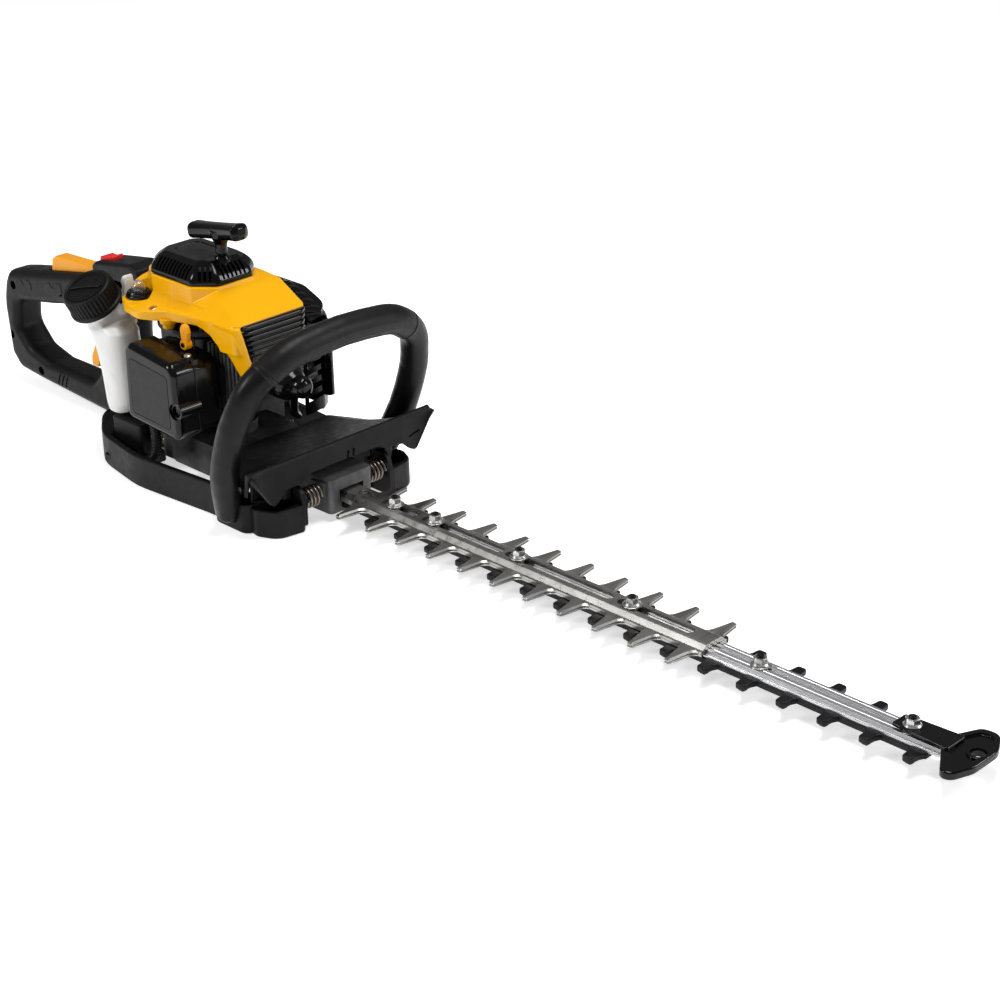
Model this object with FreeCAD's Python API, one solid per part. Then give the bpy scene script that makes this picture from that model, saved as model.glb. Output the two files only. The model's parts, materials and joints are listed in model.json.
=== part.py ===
"""Petrol hedge trimmer with a reciprocating double-sided cutter.

Millimetres, +X towards the tip of the blades, +Z up.  The origin is the middle of the
ground contact box: the chassis stands on z = 0 and the object is centred on X and Y.
The crankshaft is vertical, the cylinder lies along +X and the cutter runs forward from
the gear case.
"""
import FreeCAD, Part
import math
import os

V = FreeCAD.Vector
AXES = {"x": V(1, 0, 0), "y": V(0, 1, 0), "z": V(0, 0, 1)}

# ---- driving dimensions -------------------------------------------------------------

# cutter
PITCH = 35.0               # spacing of the teeth along the bar
TEETH = 11                 # cutting teeth on each side of a blade
FIRST_TOOTH = -46.0        # x of the rearmost cutting tooth
TOOTH_REACH = 38.0         # tip of a cutting tooth from the centre line
SHEET = 1.8                # blade thickness
BLADE_STEP = 2.1           # height from the lower blade to the upper one
TEETH_TOP = 20.6           # top of the upper blade's teeth
SPINE_RISE = 4.2           # the blade's spine stands this far above its teeth
SPINE_HALF = 8.25          # half width of the raised spine
FLANK_HALF = 12.45         # half width where the flank meets the teeth
BLADE_START, BLADE_END = -66.0, 316.0
COMB_FIRST_NEAR = -26.0    # x of the rearmost guard tooth on the near side
COMB_REACH = 24.8
COMB_LOW, COMB_TOP = 11.0, 16.0
BAR_HALF, BAR_TOP = 11.25, 20.5
BAR_START, BAR_END = -176.0, 515.0
BOLTS = (-18.0, 29.0, 122.0, 238.0, 358.0, 486.0)
SLOTS = ((-60.0, -36.5), (-31.5, 9.0), (15.5, 105.0), (108.5, 219.0), (224.5, 297.0))
HALF_STROKE = 8.75

# drive
CRANK_X = -250.0           # crankshaft, clutch and pinion axis
MODULE, PINION_TEETH, GEAR_TEETH = 1.25, 10, 44
GEAR_X = CRANK_X + MODULE * (PINION_TEETH + GEAR_TEETH) / 2
CAM_RADIUS = 11.0
YOKE_SLACK = 2.1           # room for the cam in the yoke, along the stroke
FIT = 0.05                 # radial running clearance of a shaft

# engine
BORE_Z = 98.0              # height of the cylinder's axis
BORE_RADIUS = 17.0
THROW = 14.0               # crank radius
GUDGEON_X = -189.0         # gudgeon pin with the piston at the top of its stroke
FLYWHEEL_RADIUS = 42.0
STARTER_BASE, STARTER_TOP = 172.0, 190.0
BAR_TILT = 9.3             # slope of the starter handle's bar, in degrees
WALL = 2.5                 # moulded wall thickness

# handles and chassis
HANDLE_TUBE = 12.0         # outer radius of the front handle
HANDLE_LEAN = 0.36         # forward lean of the front handle
HANDLE_BENDS = (0, 110, 90, 40, 50, 200, 50, 40, 90, 110, 0)
GRIP_REACH = 78.0          # half width of the sleeve on the front handle
GRIP_HALF = 16.0           # half width of the rear handle
BAND_HEIGHT = 28.0

# caps and small controls
CAP_BASE = V(-322, -62, 142)
CAP_AXIS = V(0, -0.47, 0.883)
PRIMER = V(-286, -42, 151)
CHOKE_PIVOT = V(-208, -54.4, 131)
PULL_EXIT = V(-222, 0, 192)



# ---- helpers ------------------------------------------------------------------------

def box(x, y, z):
    return Part.makeBox(x[1] - x[0], y[1] - y[0], z[1] - z[0], V(x[0], y[0], z[0]))


def rod(radius, start, end):
    return Part.makeCylinder(radius, (end - start).Length, start, end - start)


def tube(outer, inner, start, end):
    return rod(outer, start, end).cut(rod(inner, start, end))


def cone(radius_1, radius_2, start, end):
    return Part.makeCone(radius_1, radius_2, (end - start).Length, start, end - start)


def fuse(shapes):
    first, rest = shapes[0], shapes[1:]
    return first.multiFuse(rest).removeSplitter() if rest else first


def cut(shape, tools):
    return shape.cut(Part.makeCompound(tools) if len(tools) > 1 else tools[0])


def both_sides(shape):
    return [shape, shape.mirror(V(0, 0, 0), AXES["y"])]


def rounded_wire(points, radius, closed=True):
    """Straight runs joined by tangent arcs of the given radius."""
    count = len(points)
    starts, arcs, ends = [], [], []
    for i, corner in enumerate(points):
        r = radius[i] if isinstance(radius, (list, tuple)) else radius
        if r <= 0 or (not closed and i in (0, count - 1)):
            starts.append(corner)
            arcs.append(None)
            ends.append(corner)
            continue
        back = V(points[i - 1] - corner).normalize()
        onward = V(points[(i + 1) % count] - corner).normalize()
        half = back.getAngle(onward) / 2
        inward = V(back + onward).normalize()
        start = corner + back * (r / math.tan(half))
        end = corner + onward * (r / math.tan(half))
        middle = corner + inward * (r / math.sin(half) - r)
        starts.append(start)
        arcs.append(Part.Arc(start, middle, end).toShape())
        ends.append(end)
    edges = []
    for i in range(count):
        if arcs[i]:
            edges.append(arcs[i])
        if (i < count - 1 or closed) and (ends[i] - starts[(i + 1) % count]).Length > 1e-6:
            edges.append(Part.LineSegment(ends[i], starts[(i + 1) % count]).toShape())
    return Part.Wire(edges)


def prism(axis, points, low, high, radius=0):
    """Extrude an outline, given in the two other coordinates, from low to high."""
    place = {"x": lambda a, b: V(low, a, b), "y": lambda a, b: V(a, low, b), "z": lambda a, b: V(a, b, low)}
    wire = rounded_wire([place[axis](a, b) for a, b in points], radius)
    return Part.Face(wire).extrude(AXES[axis] * (high - low))


def slot(x, half_width, z):
    """A round-ended slot along X."""
    ends = [rod(half_width, V(end, 0, z[0]), V(end, 0, z[1])) for end in (x[0] + half_width,
                                                                          x[1] - half_width)]
    return fuse(ends + [box((x[0] + half_width, x[1] - half_width), (-half_width, half_width), z)])


def hose(points, bend, radius):
    path = rounded_wire(points, bend, closed=False)
    section = Part.Wire(Part.makeCircle(radius, points[0], points[1] - points[0]))
    return path.makePipeShell([section], True, False)


def spring(radius, wire_radius, pitch, turns, base, axis):
    helix = Part.makeHelix(pitch, pitch * turns, radius)
    section = Part.Wire(Part.makeCircle(wire_radius, V(radius, 0, 0), V(0, 1, 0)))
    coil = Part.Wire(helix).makePipeShell([section], True, True)
    coil.Placement = FreeCAD.Placement(base, FreeCAD.Rotation(V(0, 0, 1), axis))
    return coil


def ball_bearing(outer, inner, center_x, low, high):
    """Both rings and the sealed space between them, as one ring."""
    return tube(outer, inner, V(center_x, 0, low), V(center_x, 0, high))


# ---- cutter -------------------------------------------------------------------------

def comb_guard():
    body = box((-70, 506), (-FLANK_HALF, FLANK_HALF), (COMB_LOW, COMB_TOP))
    teeth = []
    for side, first, count in ((-1, COMB_FIRST_NEAR, 16), (1, COMB_FIRST_NEAR - PITCH / 2, 15)):
        for i in range(count):
            x = first + PITCH * i
            root, tip = side * (FLANK_HALF - 1), side * COMB_REACH
            outline = [(x - 6.5, root), (x - 4, tip), (x + 4, tip), (x + 6.5, root)]
            teeth.append(prism("z", outline, COMB_LOW + 0.5, COMB_TOP, (0, 1.5, 1.5, 0)))
    holes = [rod(3.1, V(x, 0, COMB_LOW - 1), V(x, 0, COMB_TOP + 1)) for x in BOLTS]
    return cut(fuse([body] + teeth), holes)


def guide_bar():
    low = COMB_TOP
    profile = [(-BAR_HALF, low), (BAR_HALF, low), (BAR_HALF, 17.2), (8.0, BAR_TOP), (1.5, BAR_TOP),
               (1.5, BAR_TOP - 0.8), (-1.5, BAR_TOP - 0.8), (-1.5, BAR_TOP), (-8.0, BAR_TOP), (-BAR_HALF,
                                                                                               17.2)]
    bar = prism("x", profile, BAR_START, BAR_END)
    return cut(bar, [rod(3.1, V(x, 0, low - 1), V(x, 0, BAR_TOP + 1)) for x in BOLTS])


def blade(teeth_top):
    spine_top = teeth_top + SPINE_RISE
    top = [(-FLANK_HALF, teeth_top), (-SPINE_HALF, spine_top), (SPINE_HALF, spine_top),
           (FLANK_HALF, teeth_top)]
    under = [(y, z - SHEET) for y, z in reversed(top)]
    shapes = [prism("x", top + under, BLADE_START, BLADE_END)]
    for side in (-1, 1):
        for i in range(TEETH):
            x = FIRST_TOOTH + PITCH * i
            root, foot, tip = side * FLANK_HALF, side * 17.0, side * TOOTH_REACH
            outline = [(x - 12, root), (x - 6.5, foot), (x - 2.5, tip), (x + 2.5, tip), (x + 5.5, foot),
                       (x + 12, root)]
            shapes.append(prism("z", outline, teeth_top - SHEET, teeth_top))
    level = (spine_top - SHEET, spine_top)
    shapes.append(box((GEAR_X, BLADE_START + 1), (-SPINE_HALF, SPINE_HALF), level))
    yoke_x, yoke_y = CAM_RADIUS + YOKE_SLACK, CAM_RADIUS + HALF_STROKE + 0.5
    shapes.append(box((GEAR_X - yoke_x - 7, GEAR_X + yoke_x + 7), (-yoke_y - 7, yoke_y + 7), level))
    room = (level[0] - 1, level[1] + 1)
    openings = [slot(span, 5.0, room) for span in SLOTS]
    openings.append(box((GEAR_X - yoke_x, GEAR_X + yoke_x), (-yoke_y, yoke_y), room))
    return cut(fuse(shapes), openings)


def blade_bolts():
    bolts = []
    for x in BOLTS:
        head = cone(3.2, 5.0, V(x, 0, COMB_LOW - 3), V(x, 0, COMB_LOW))
        bolts.append(head.fuse(rod(3.0, V(x, 0, COMB_LOW), V(x, 0, 33.0))))
    return Part.makeCompound(bolts)


def blade_spacers():
    """Sleeves through the blade slots, each with its washer on top."""
    spacers = []
    for x in BOLTS[:4]:
        sleeve = tube(4.4, 3.0, V(x, 0, BAR_TOP), V(x, 0, 25.3))
        spacers.append(sleeve.fuse(tube(7.5, 3.0, V(x, 0, 25.3), V(x, 0, 26.6))))
    for x in BOLTS[4:]:
        spacers.append(tube(7.5, 3.0, V(x, 0, BAR_TOP), V(x, 0, BAR_TOP + 1.4)))
    return Part.makeCompound(spacers)


def blade_nuts():
    nuts = []
    for x in BOLTS:
        low = 26.6 if x < BLADE_END else BAR_TOP + 1.4
        if x == BOLTS[-1]:
            low += 2.6
        hexagon = [(x + 5.2 * math.cos(math.radians(60 * k)),
                    5.2 * math.sin(math.radians(60 * k))) for k in range(6)]
        nut = prism("z", hexagon, low, low + 5.5).fuse(rod(6.2, V(x, 0, low), V(x, 0, low + 1.2)))
        nuts.append(nut.cut(rod(3.0, V(x, 0, low - 1), V(x, 0, low + 8))))
    return Part.makeCompound(nuts)


def tip_guard():
    low, top = 16.5, 22.8
    outline = [(516, -11), (530, -33), (540, -31), (546, -14), (546, 14), (535, 33), (520, 31), (512, 14)]
    plate = prism("z", outline, low, top, (2, 6, 10, 18, 18, 10, 8, 3))
    recess = prism("z", [(521, -9), (533, -27), (541, -14), (541, 14), (533, 27), (523, 25), (517, 12)],
                   top - 1.6, top + 1, (1.5, 6, 12, 12, 8, 6, 2))
    boss = rod(8.0, V(536, 2.5, low), V(536, 2.5, top))
    arm = prism("z", [(474, -7), (520, -10), (520, 12), (474, 9)], BAR_TOP + 1.4, BAR_TOP + 4, 2)
    guard = fuse([cut(plate, [recess]), boss, arm])
    room = prism("x", [(-12, 10), (12, 10), (12, BAR_TOP), (-12, BAR_TOP)], 500, BAR_END + 0.3)
    holes = [rod(5.25, V(536, 2.5, 0), V(536, 2.5, 40)), rod(3.1, V(BOLTS[-1], 0, 15), V(BOLTS[-1], 0, 40))]
    return cut(guard, holes + [room])


# ---- drive --------------------------------------------------------------------------

def gear_outline(center, teeth, start_angle):
    """Straight-flanked teeth with backlash, as points around the centre."""
    pitch_radius = MODULE * teeth / 2
    root, tip = pitch_radius - 1.15 * MODULE, pitch_radius + 0.8 * MODULE
    step = 2 * math.pi / teeth
    points = []
    for i in range(teeth):
        middle = start_angle + i * step
        for radius, offset in ((root, -0.33), (tip, -0.12), (tip, 0.12), (root, 0.33)):
            angle = middle + offset * step
            points.append((center + radius * math.cos(angle), radius * math.sin(angle)))
    return points


def drive_gear():
    axis = lambda z: V(GEAR_X, 0, z)
    half_tooth = math.pi / GEAR_TEETH
    wheel = prism("z", gear_outline(GEAR_X, GEAR_TEETH, math.pi + half_tooth), 26, 33)
    upper_cam = rod(CAM_RADIUS, V(GEAR_X, HALF_STROKE, 22.9), V(GEAR_X, HALF_STROKE, 26))
    lower_cam = rod(CAM_RADIUS, V(GEAR_X, -HALF_STROKE, 20.7), V(GEAR_X, -HALF_STROKE, 22.9))
    shaft = rod(4.0, axis(10.2), axis(44))
    collars = [rod(6.5, axis(17.3), axis(20.7)), rod(6.5, axis(33), axis(36.8))]
    return fuse([wheel, upper_cam, lower_cam, shaft] + collars)


def clutch_drum():
    axis = lambda z: V(CRANK_X, 0, z)
    pinion = prism("z", gear_outline(CRANK_X, PINION_TEETH, 0), 25.6, 33.5)
    shaft = rod(5.0, axis(25.6), axis(53))
    cup = tube(30, 28, axis(52), axis(72)).fuse(rod(29, axis(52), axis(54)))
    return fuse([pinion, shaft, cup])


CASE = [(-280, -22), (-257, -42), (-188, -42), (-164, -25), (-71, -23),
        (-71, 23), (-164, 25), (-188, 42), (-257, 42), (-280, 22)]


def gearcase_lower():
    split = BAR_TOP
    case = prism("z", CASE, 7, split, (10, 16, 16, 12, 4, 4, 12, 16, 16, 10))
    pocket = rod(11, V(GEAR_X, 0, 10), V(GEAR_X, 0, split + 1))
    channel = box((BAR_START - 0.2, -60), (-BAR_HALF, BAR_HALF), (COMB_TOP, split + 1))
    blade_room = box((-78, -60), (-FLANK_HALF - 0.6, FLANK_HALF + 0.6), (COMB_TOP, split + 1))
    return cut(case, [pocket, channel, blade_room])


def gearcase_upper():
    split = BAR_TOP
    body = prism("z", CASE, split, 36.8, (10, 16, 16, 12, 4, 4, 12, 16, 16, 10))
    boss = [rod(17, V(GEAR_X, 0, 36), V(GEAR_X, 0, 46)), rod(19, V(CRANK_X, 0, 36), V(CRANK_X, 0, 50.5))]
    lugs = both_sides(box((-241, -229), (38, 62), (23, 43)))
    seats = both_sides(box((-92, -76), (20, 26), (20.5, 34)))
    case = fuse([body] + boss + lugs + seats)
    yoke_x = CAM_RADIUS + YOKE_SLACK + 7 + HALF_STROKE + 1
    yoke_y = CAM_RADIUS + HALF_STROKE + 8.5
    rooms = [box((GEAR_X - yoke_x, GEAR_X + yoke_x), (-yoke_y, yoke_y), (split - 1, 25.4)),
             box((GEAR_X, -60), (-SPINE_HALF - 0.6, SPINE_HALF + 0.6), (split - 1, 25.4)),
             rod(31, V(GEAR_X, 0, split - 1), V(GEAR_X, 0, 34.5)),
             rod(10, V(CRANK_X, 0, split - 1), V(CRANK_X, 0, 34.5)),
             rod(11, V(GEAR_X, 0, 37), V(GEAR_X, 0, 44.2)),
             rod(7.5, V(GEAR_X, 0, 34), V(GEAR_X, 0, 37)),
             rod(11, V(CRANK_X, 0, 36.5), V(CRANK_X, 0, 51)),
             rod(7.5, V(CRANK_X, 0, 34), V(CRANK_X, 0, 37)),
             box((-78, -60), (-FLANK_HALF - 0.6, FLANK_HALF + 0.6), (split - 1, 26.4))]
    return cut(case, rooms)


def gearcase_screws():
    screws = []
    for x, y in ((-268, 26), (-250, 36), (-191, 36), (-155, 18), (-110, 18)):
        for side in (-1, 1):
            head = rod(3.6, V(x, side * y, 36.8), V(x, side * y, 40.3))
            screws.append(head.cut(rod(1.8, V(x, side * y, 38.3), V(x, side * y, 41))))
    return Part.makeCompound(screws)


def bearings():
    drive = [ball_bearing(11, 4 + FIT, GEAR_X, 10, 17), ball_bearing(11, 4 + FIT, GEAR_X, 37, 44),
             ball_bearing(11, 5 + FIT, CRANK_X, 36.5, 43), ball_bearing(11, 5 + FIT, CRANK_X, 44, 50.5)]
    crank = [ball_bearing(16, 7.5 + FIT, CRANK_X, 76.5, 83), ball_bearing(16, 7.5 + FIT, CRANK_X, 113.5,
                                                                          120)]
    return Part.makeCompound(drive + crank)


def clutch_housing():
    axis = lambda z: V(CRANK_X, 0, z)
    shell = tube(37, 33, axis(47), axis(76)).fuse(tube(36, 19.2, axis(47), axis(50.3)))
    ears = [box((CRANK_X - 6, CRANK_X + 6), (35 * side - 3, 35 * side + 3), (47, 76)) for side in (-1, 1)]
    return fuse([shell] + ears)


def clutch_shoes():
    axis = lambda z: V(CRANK_X, 0, z)
    disc = tube(27, 17, axis(56), axis(69))
    gap = box((CRANK_X - 2, CRANK_X + 2), (-40, 40), (50, 80))
    carrier = tube(16.9, 6, axis(57), axis(62)).cut(tube(15, 8, axis(59), axis(63)))
    shoes = disc.cut(gap)
    pins = [rod(2, V(CRANK_X + side * 14, 0, 62), V(CRANK_X + side * 19, 0, 62)) for side in (-1, 1)]
    return Part.makeCompound(fuse([carrier, shoes] + pins).Solids)


# ---- engine -------------------------------------------------------------------------

def crankshaft():
    axis = lambda z: V(CRANK_X, 0, z)
    half_gap = 5.0
    webs = [rod(20, axis(BORE_Z + half_gap), axis(112)), rod(20, axis(84), axis(BORE_Z - half_gap))]
    pin = rod(6, V(CRANK_X + THROW, 0, 90), V(CRANK_X + THROW, 0, 106))
    journals = [rod(7.5, axis(74), axis(84)), rod(7.5, axis(112), axis(123))]
    ends = [rod(6, axis(57), axis(76)), rod(6, axis(122), axis(157))]
    return fuse(webs + [pin] + journals + ends)


def connecting_rod():
    """The big end is opened to a ring that clears the crank pin's whole path."""
    low, high = BORE_Z - 3, BORE_Z + 3
    ring = tube(24.5, THROW + 6.5, V(CRANK_X, 0, low), V(CRANK_X, 0, high))
    beam = box((CRANK_X + 23, GUDGEON_X - 3), (-4, 4), (low, high))
    eye = rod(6.5, V(GUDGEON_X, 0, BORE_Z - 4), V(GUDGEON_X, 0, BORE_Z + 4))
    return cut(fuse([ring, beam, eye]), [rod(4, V(GUDGEON_X, 0, 80), V(GUDGEON_X, 0, 120))])


def piston():
    start, crown = GUDGEON_X - 13, GUDGEON_X + 13
    skirt = rod(BORE_RADIUS - FIT, V(start, 0, BORE_Z), V(crown, 0, BORE_Z))
    hollow = rod(13.5, V(start - 1, 0, BORE_Z), V(crown - 4, 0, BORE_Z))
    rings = [tube(20, 16.2, V(x, 0, BORE_Z), V(x + 1.2, 0, BORE_Z)) for x in (crown - 6, crown - 3)]
    gudgeon = rod(4, V(GUDGEON_X, 0, BORE_Z - 14), V(GUDGEON_X, 0, BORE_Z + 14))
    return fuse([cut(skirt, [hollow] + rings), gudgeon])


def cylinder():
    barrel = rod(22, V(CRANK_X + 31, 0, BORE_Z), V(-166, 0, BORE_Z))
    fins = [box((x, x + 2.2), (-32, 32), (BORE_Z - 28, BORE_Z + 28)) for x in range(-209, -168, 5)]
    ports = [box((-212, -190), (20, 34), (BORE_Z - 11, BORE_Z + 11)),
             box((-212, -190), (-34, -20), (BORE_Z - 11, BORE_Z + 11))]
    bore = rod(BORE_RADIUS, V(CRANK_X + 30, 0, BORE_Z), V(-174.5, 0, BORE_Z))
    plug_hole = rod(6, V(-180, 0, BORE_Z), V(-160, 0, BORE_Z))
    passages = [rod(6.5, V(-201, side * 10, BORE_Z), V(-201, side * 36, BORE_Z)) for side in (-1, 1)]
    return cut(fuse([barrel] + fins + ports), [bore, plug_hole] + passages)


def crankcase():
    rear, front = CRANK_X - 34, CRANK_X + 31
    block = prism("z", [(rear, -31), (front, -31), (front, 31), (rear, 31)], 76, 124, (14, 4, 4, 14))
    rooms = [rod(27.5, V(CRANK_X, 0, 83), V(CRANK_X, 0, 113.5)),
             rod(16, V(CRANK_X, 0, 76.5), V(CRANK_X, 0, 83)),
             rod(16, V(CRANK_X, 0, 113.5), V(CRANK_X, 0, 120)),
             rod(8.5, V(CRANK_X, 0, 70), V(CRANK_X, 0, 130)),
             rod(BORE_RADIUS, V(CRANK_X + 12, 0, BORE_Z), V(CRANK_X + 40, 0, BORE_Z))]
    return cut(block, rooms)


def spark_plug():
    at = lambda x: V(x, 0, BORE_Z)
    thread = rod(6, at(-174.5), at(-166))
    hexagon = prism("x",
                    [(9 * math.cos(k * math.pi / 3),
                      BORE_Z + 9 * math.sin(k * math.pi / 3)) for k in range(6)],
                    -166, -158)
    return fuse([thread, hexagon, cone(6, 4.5, at(-158), at(-142)), rod(3, at(-142), at(-137))])


def spark_plug_boot():
    at = lambda x: V(x, 0, BORE_Z)
    outer = fuse([cone(14.5, 12.5, at(-156), at(-138)), cone(12.5, 8, at(-138), at(-122)),
                  rod(5.5, V(-140, 0, BORE_Z - 8), V(-140, 0, BORE_Z - 26))])
    return cut(outer, [cone(6.3, 4.7, at(-158.5), at(-141.8)), rod(3.2, at(-142), at(-136.8))])


def flywheel():
    axis = lambda z: V(CRANK_X, 0, z)
    disc = rod(FLYWHEEL_RADIUS, axis(127), axis(131))
    hub = rod(14, axis(126), axis(150))
    blade_count = 16
    fins = []
    for i in range(blade_count):
        fin = box((CRANK_X + 18, CRANK_X + FLYWHEEL_RADIUS - 1), (-1, 1), (130, 146))
        fin.rotate(axis(0), AXES["z"], 360 * i / blade_count)
        fins.append(fin)
    cup = tube(20, 17, axis(150), axis(158)).fuse(rod(19, axis(148), axis(151)))
    return cut(fuse([disc, hub, cup] + fins), [rod(6, axis(120), axis(165))])


def ignition_coil():
    rim = CRANK_X + FLYWHEEL_RADIUS
    body = box((rim + 4, rim + 20), (-15, 15), (127, 147))
    legs = [box((rim + 0.3, rim + 5), (side * 5 - 2.5, side * 5 + 2.5), (127, 147)) for side in (-1, 1)]
    return fuse([body] + legs)


def intake_insulator():
    plate = box((-216, -186), (-38, -34), (BORE_Z - 13, BORE_Z + 13))
    return cut(plate, [rod(6.5, V(-201, -40, BORE_Z), V(-201, -30, BORE_Z))])


def carburettor():
    body = prism("y", [(-219, 82), (-192.5, 82), (-192.5, 114), (-219, 114)], -57.8, -38, 3)
    pump = rod(9, V(-203, -48, 70), V(-203, -48, 82))
    arm = box((-199, -195.5), (-52, -44), (114, 117))
    return cut(fuse([body, pump, arm]), [rod(6.5, V(-201, -60, BORE_Z), V(-201, -30, BORE_Z))])


AIR_BOX = [(-258, 61), (-192, 57), (-186, 63), (-188, 116), (-194, 124), (-248, 130), (-256, 124)]


def shrink(points, middle, step):
    """Move each point towards the middle by the same step on both axes."""
    return [(a - math.copysign(step, a - middle[0]), b - math.copysign(step, b - middle[1])) for a,
            b in points]


def air_box_base():
    flange = prism("y", AIR_BOX, -64, -58, 4)
    tub = [(-258, 61), (-192, 57), (-186, 63), (-188, 116), (-194, 123), (-240, 125.3), (-256, 123)]
    outer = flange.fuse(prism("y", tub, -58, -40, 4))
    room = prism("y", shrink(tub, (-222, 92), WALL), -58.2, -39, 3)
    ear = box((-212, -204), (CHOKE_PIVOT.y + 3.7, CHOKE_PIVOT.y + 6.7), (119, CHOKE_PIVOT.z + 4))
    pin = rod(2, CHOKE_PIVOT + V(0, -4.5, 0), CHOKE_PIVOT + V(0, 4, 0))
    throat = rod(6.5, V(-201, -66, BORE_Z), V(-201, -50, BORE_Z))
    hose_gap = box((-262, -250), (-52, -37), (66, 122))
    return fuse([cut(outer, [room, throat, hose_gap]), ear, pin])


def air_box_cover():
    outer = prism("y", AIR_BOX, -85, -64, 5)
    inner = prism("y", shrink(AIR_BOX, (-222, 92), WALL), -85 + WALL, -63, 3)
    return outer.cut(inner)


def air_filter():
    return prism("y", shrink(AIR_BOX, (-222, 92), 6), -79, -65, 3)


def choke_lever():
    disc = rod(4.5, CHOKE_PIVOT - V(0, 3.4, 0), CHOKE_PIVOT + V(0, 3.4, 0))
    x, y, z = CHOKE_PIVOT
    grip = prism("y", [(x - 3, z), (x - 5, z + 12), (x - 2, z + 18), (x + 3, z + 17), (x + 5, z + 11),
                       (x + 3, z)],
                 y - 2.5, y + 2.5, (0, 4, 3, 3, 4, 0))
    return fuse([disc, grip]).cut(rod(2 + FIT, CHOKE_PIVOT - V(0, 5, 0), CHOKE_PIVOT + V(0, 5, 0)))


def muffler():
    can = prism("z", [(-246, 36), (-184, 36), (-184, 66), (-246, 66)], 66, 124, 8)
    stub = box((-212, -190), (34, 37), (BORE_Z - 10, BORE_Z + 10))
    outlet = rod(6, V(-184, 54, 78), V(-177, 54, 78))
    return fuse([can, stub, outlet])


GUARD_PLAN = [(-255, 50), (-250, 75), (-176, 75), (-168, 62), (-168, 40), (-173, 40), (-173, 60),
              (-179, 71), (-246, 71), (-251, 50)]


def muffler_cover():
    wall = prism("z", GUARD_PLAN, 46, 158, (0, 10, 12, 8, 0, 0, 6, 9, 7, 0))
    lid = prism("z", [(-255, 50), (-250, 75), (-176, 75), (-168, 62), (-168, 42), (-200, 44), (-250, 48)],
                152, 155.5, (0, 10, 12, 8, 0, 0, 0))
    slope = prism("y", [(-260, 158.5), (-210, 158.5), (-166, 138), (-160, 138), (-160, 170), (-260, 170)],
                  30, 90)
    louvres = [box((-180, -160), (46, 70), (z, z + 4)) for z in range(62, 132, 10)]
    side_slots = [box((x, x + 4), (60, 80), (70, 130)) for x in range(-240, -188, 10)]
    return cut(wall.fuse(lid), [slope] + louvres + side_slots)


COVER_PLAN = [(-158, -41), (-158, 34), (-200, 41), (-262, 48), (-306, 30), (-306, -30), (-292, -56),
              (-266, -60),
              (-240, -48), (-200, -44)]
COVER_PROFILE = [(-308, 126), (-308, 148), (-300, 163), (-286, 172), (-212, 172), (-158, 154), (-150, 154),
                 (-150, 126)]


def engine_cover():
    plan_radius = (6, 6, 20, 24, 14, 12, 10, 12, 16, 20)
    outer = prism("z", COVER_PLAN, 126, 180, plan_radius)
    outer = outer.common(prism("y", COVER_PROFILE, -80, 60, (0, 6, 10, 12, 30, 5, 0, 0)))
    inner_plan = shrink(COVER_PLAN, (-240, -8), WALL)
    inner = prism("z", inner_plan, 120, 180, (4, 4, 18, 22, 11, 9, 8, 10, 18, 20))
    inner_profile = [(x, z - WALL) for x, z in COVER_PROFILE]
    inner = inner.common(prism("y", inner_profile, -80, 60, (0, 6, 10, 12, 30, 5, 0, 0)))
    leg = prism("x", [(-41, 102), (-37, 102), (-35, 128), (-41, 128)], -172, -158, 1)
    shaft_room = rod(27, V(CRANK_X, 0, 160), V(CRANK_X, 0, 190))
    front = box((-175, -150), (-31.2, 28.2), (120, 147))
    primer_seat = rod(8.5, PRIMER - V(0, 0, 30), PRIMER + V(0, 0, 30))
    primer_flat = rod(14, PRIMER, PRIMER + V(0, 0, 40))
    rope_room = rod(2.6, PULL_EXIT - V(0, 0, 30), PULL_EXIT - V(0, 0, 15))
    shell = fuse([outer.cut(inner), leg])
    return cut(shell, [shaft_room, front, primer_seat, primer_flat, rope_room])


def front_grille():
    """Horizontal ribs between two posts, with a thin back."""
    ribs = [box((-164, -155.5), (-31, 28), (z, z + 2.6)) for z in range(114, 146, 6)]
    posts = [box((-164, -157), (y, y + 3), (113, 146)) for y in (-31, 25)]
    back = box((-164, -162), (-31, 28), (113, 146))
    return fuse(ribs + posts + [back])


def eight_sided(half_x, half_y, corner):
    """Plan of a box round the crankshaft with its corners cut off."""
    quarter = [(half_x, half_y - corner), (half_x - corner, half_y)]
    half = quarter + [(-x, y) for x, y in reversed(quarter)]
    return [(CRANK_X + x, y) for x, y in half + [(-x, -y) for x, y in half]]


STARTER_BASE_PLAN = eight_sided(44, 34, 16)
STARTER_TOP_PLAN = eight_sided(29, 19, 6)


def starter_shell(offset, base, top):
    """A truncated cone on an eight-sided base."""
    middle = (CRANK_X, 0)
    low = [V(x, y, base) for x, y in shrink(STARTER_BASE_PLAN, middle, offset)]
    high = [V(x, y, top) for x, y in shrink(STARTER_TOP_PLAN, middle, offset)]
    return Part.makeLoft([rounded_wire(low, 4), rounded_wire(high, 4)], True, True)


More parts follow.
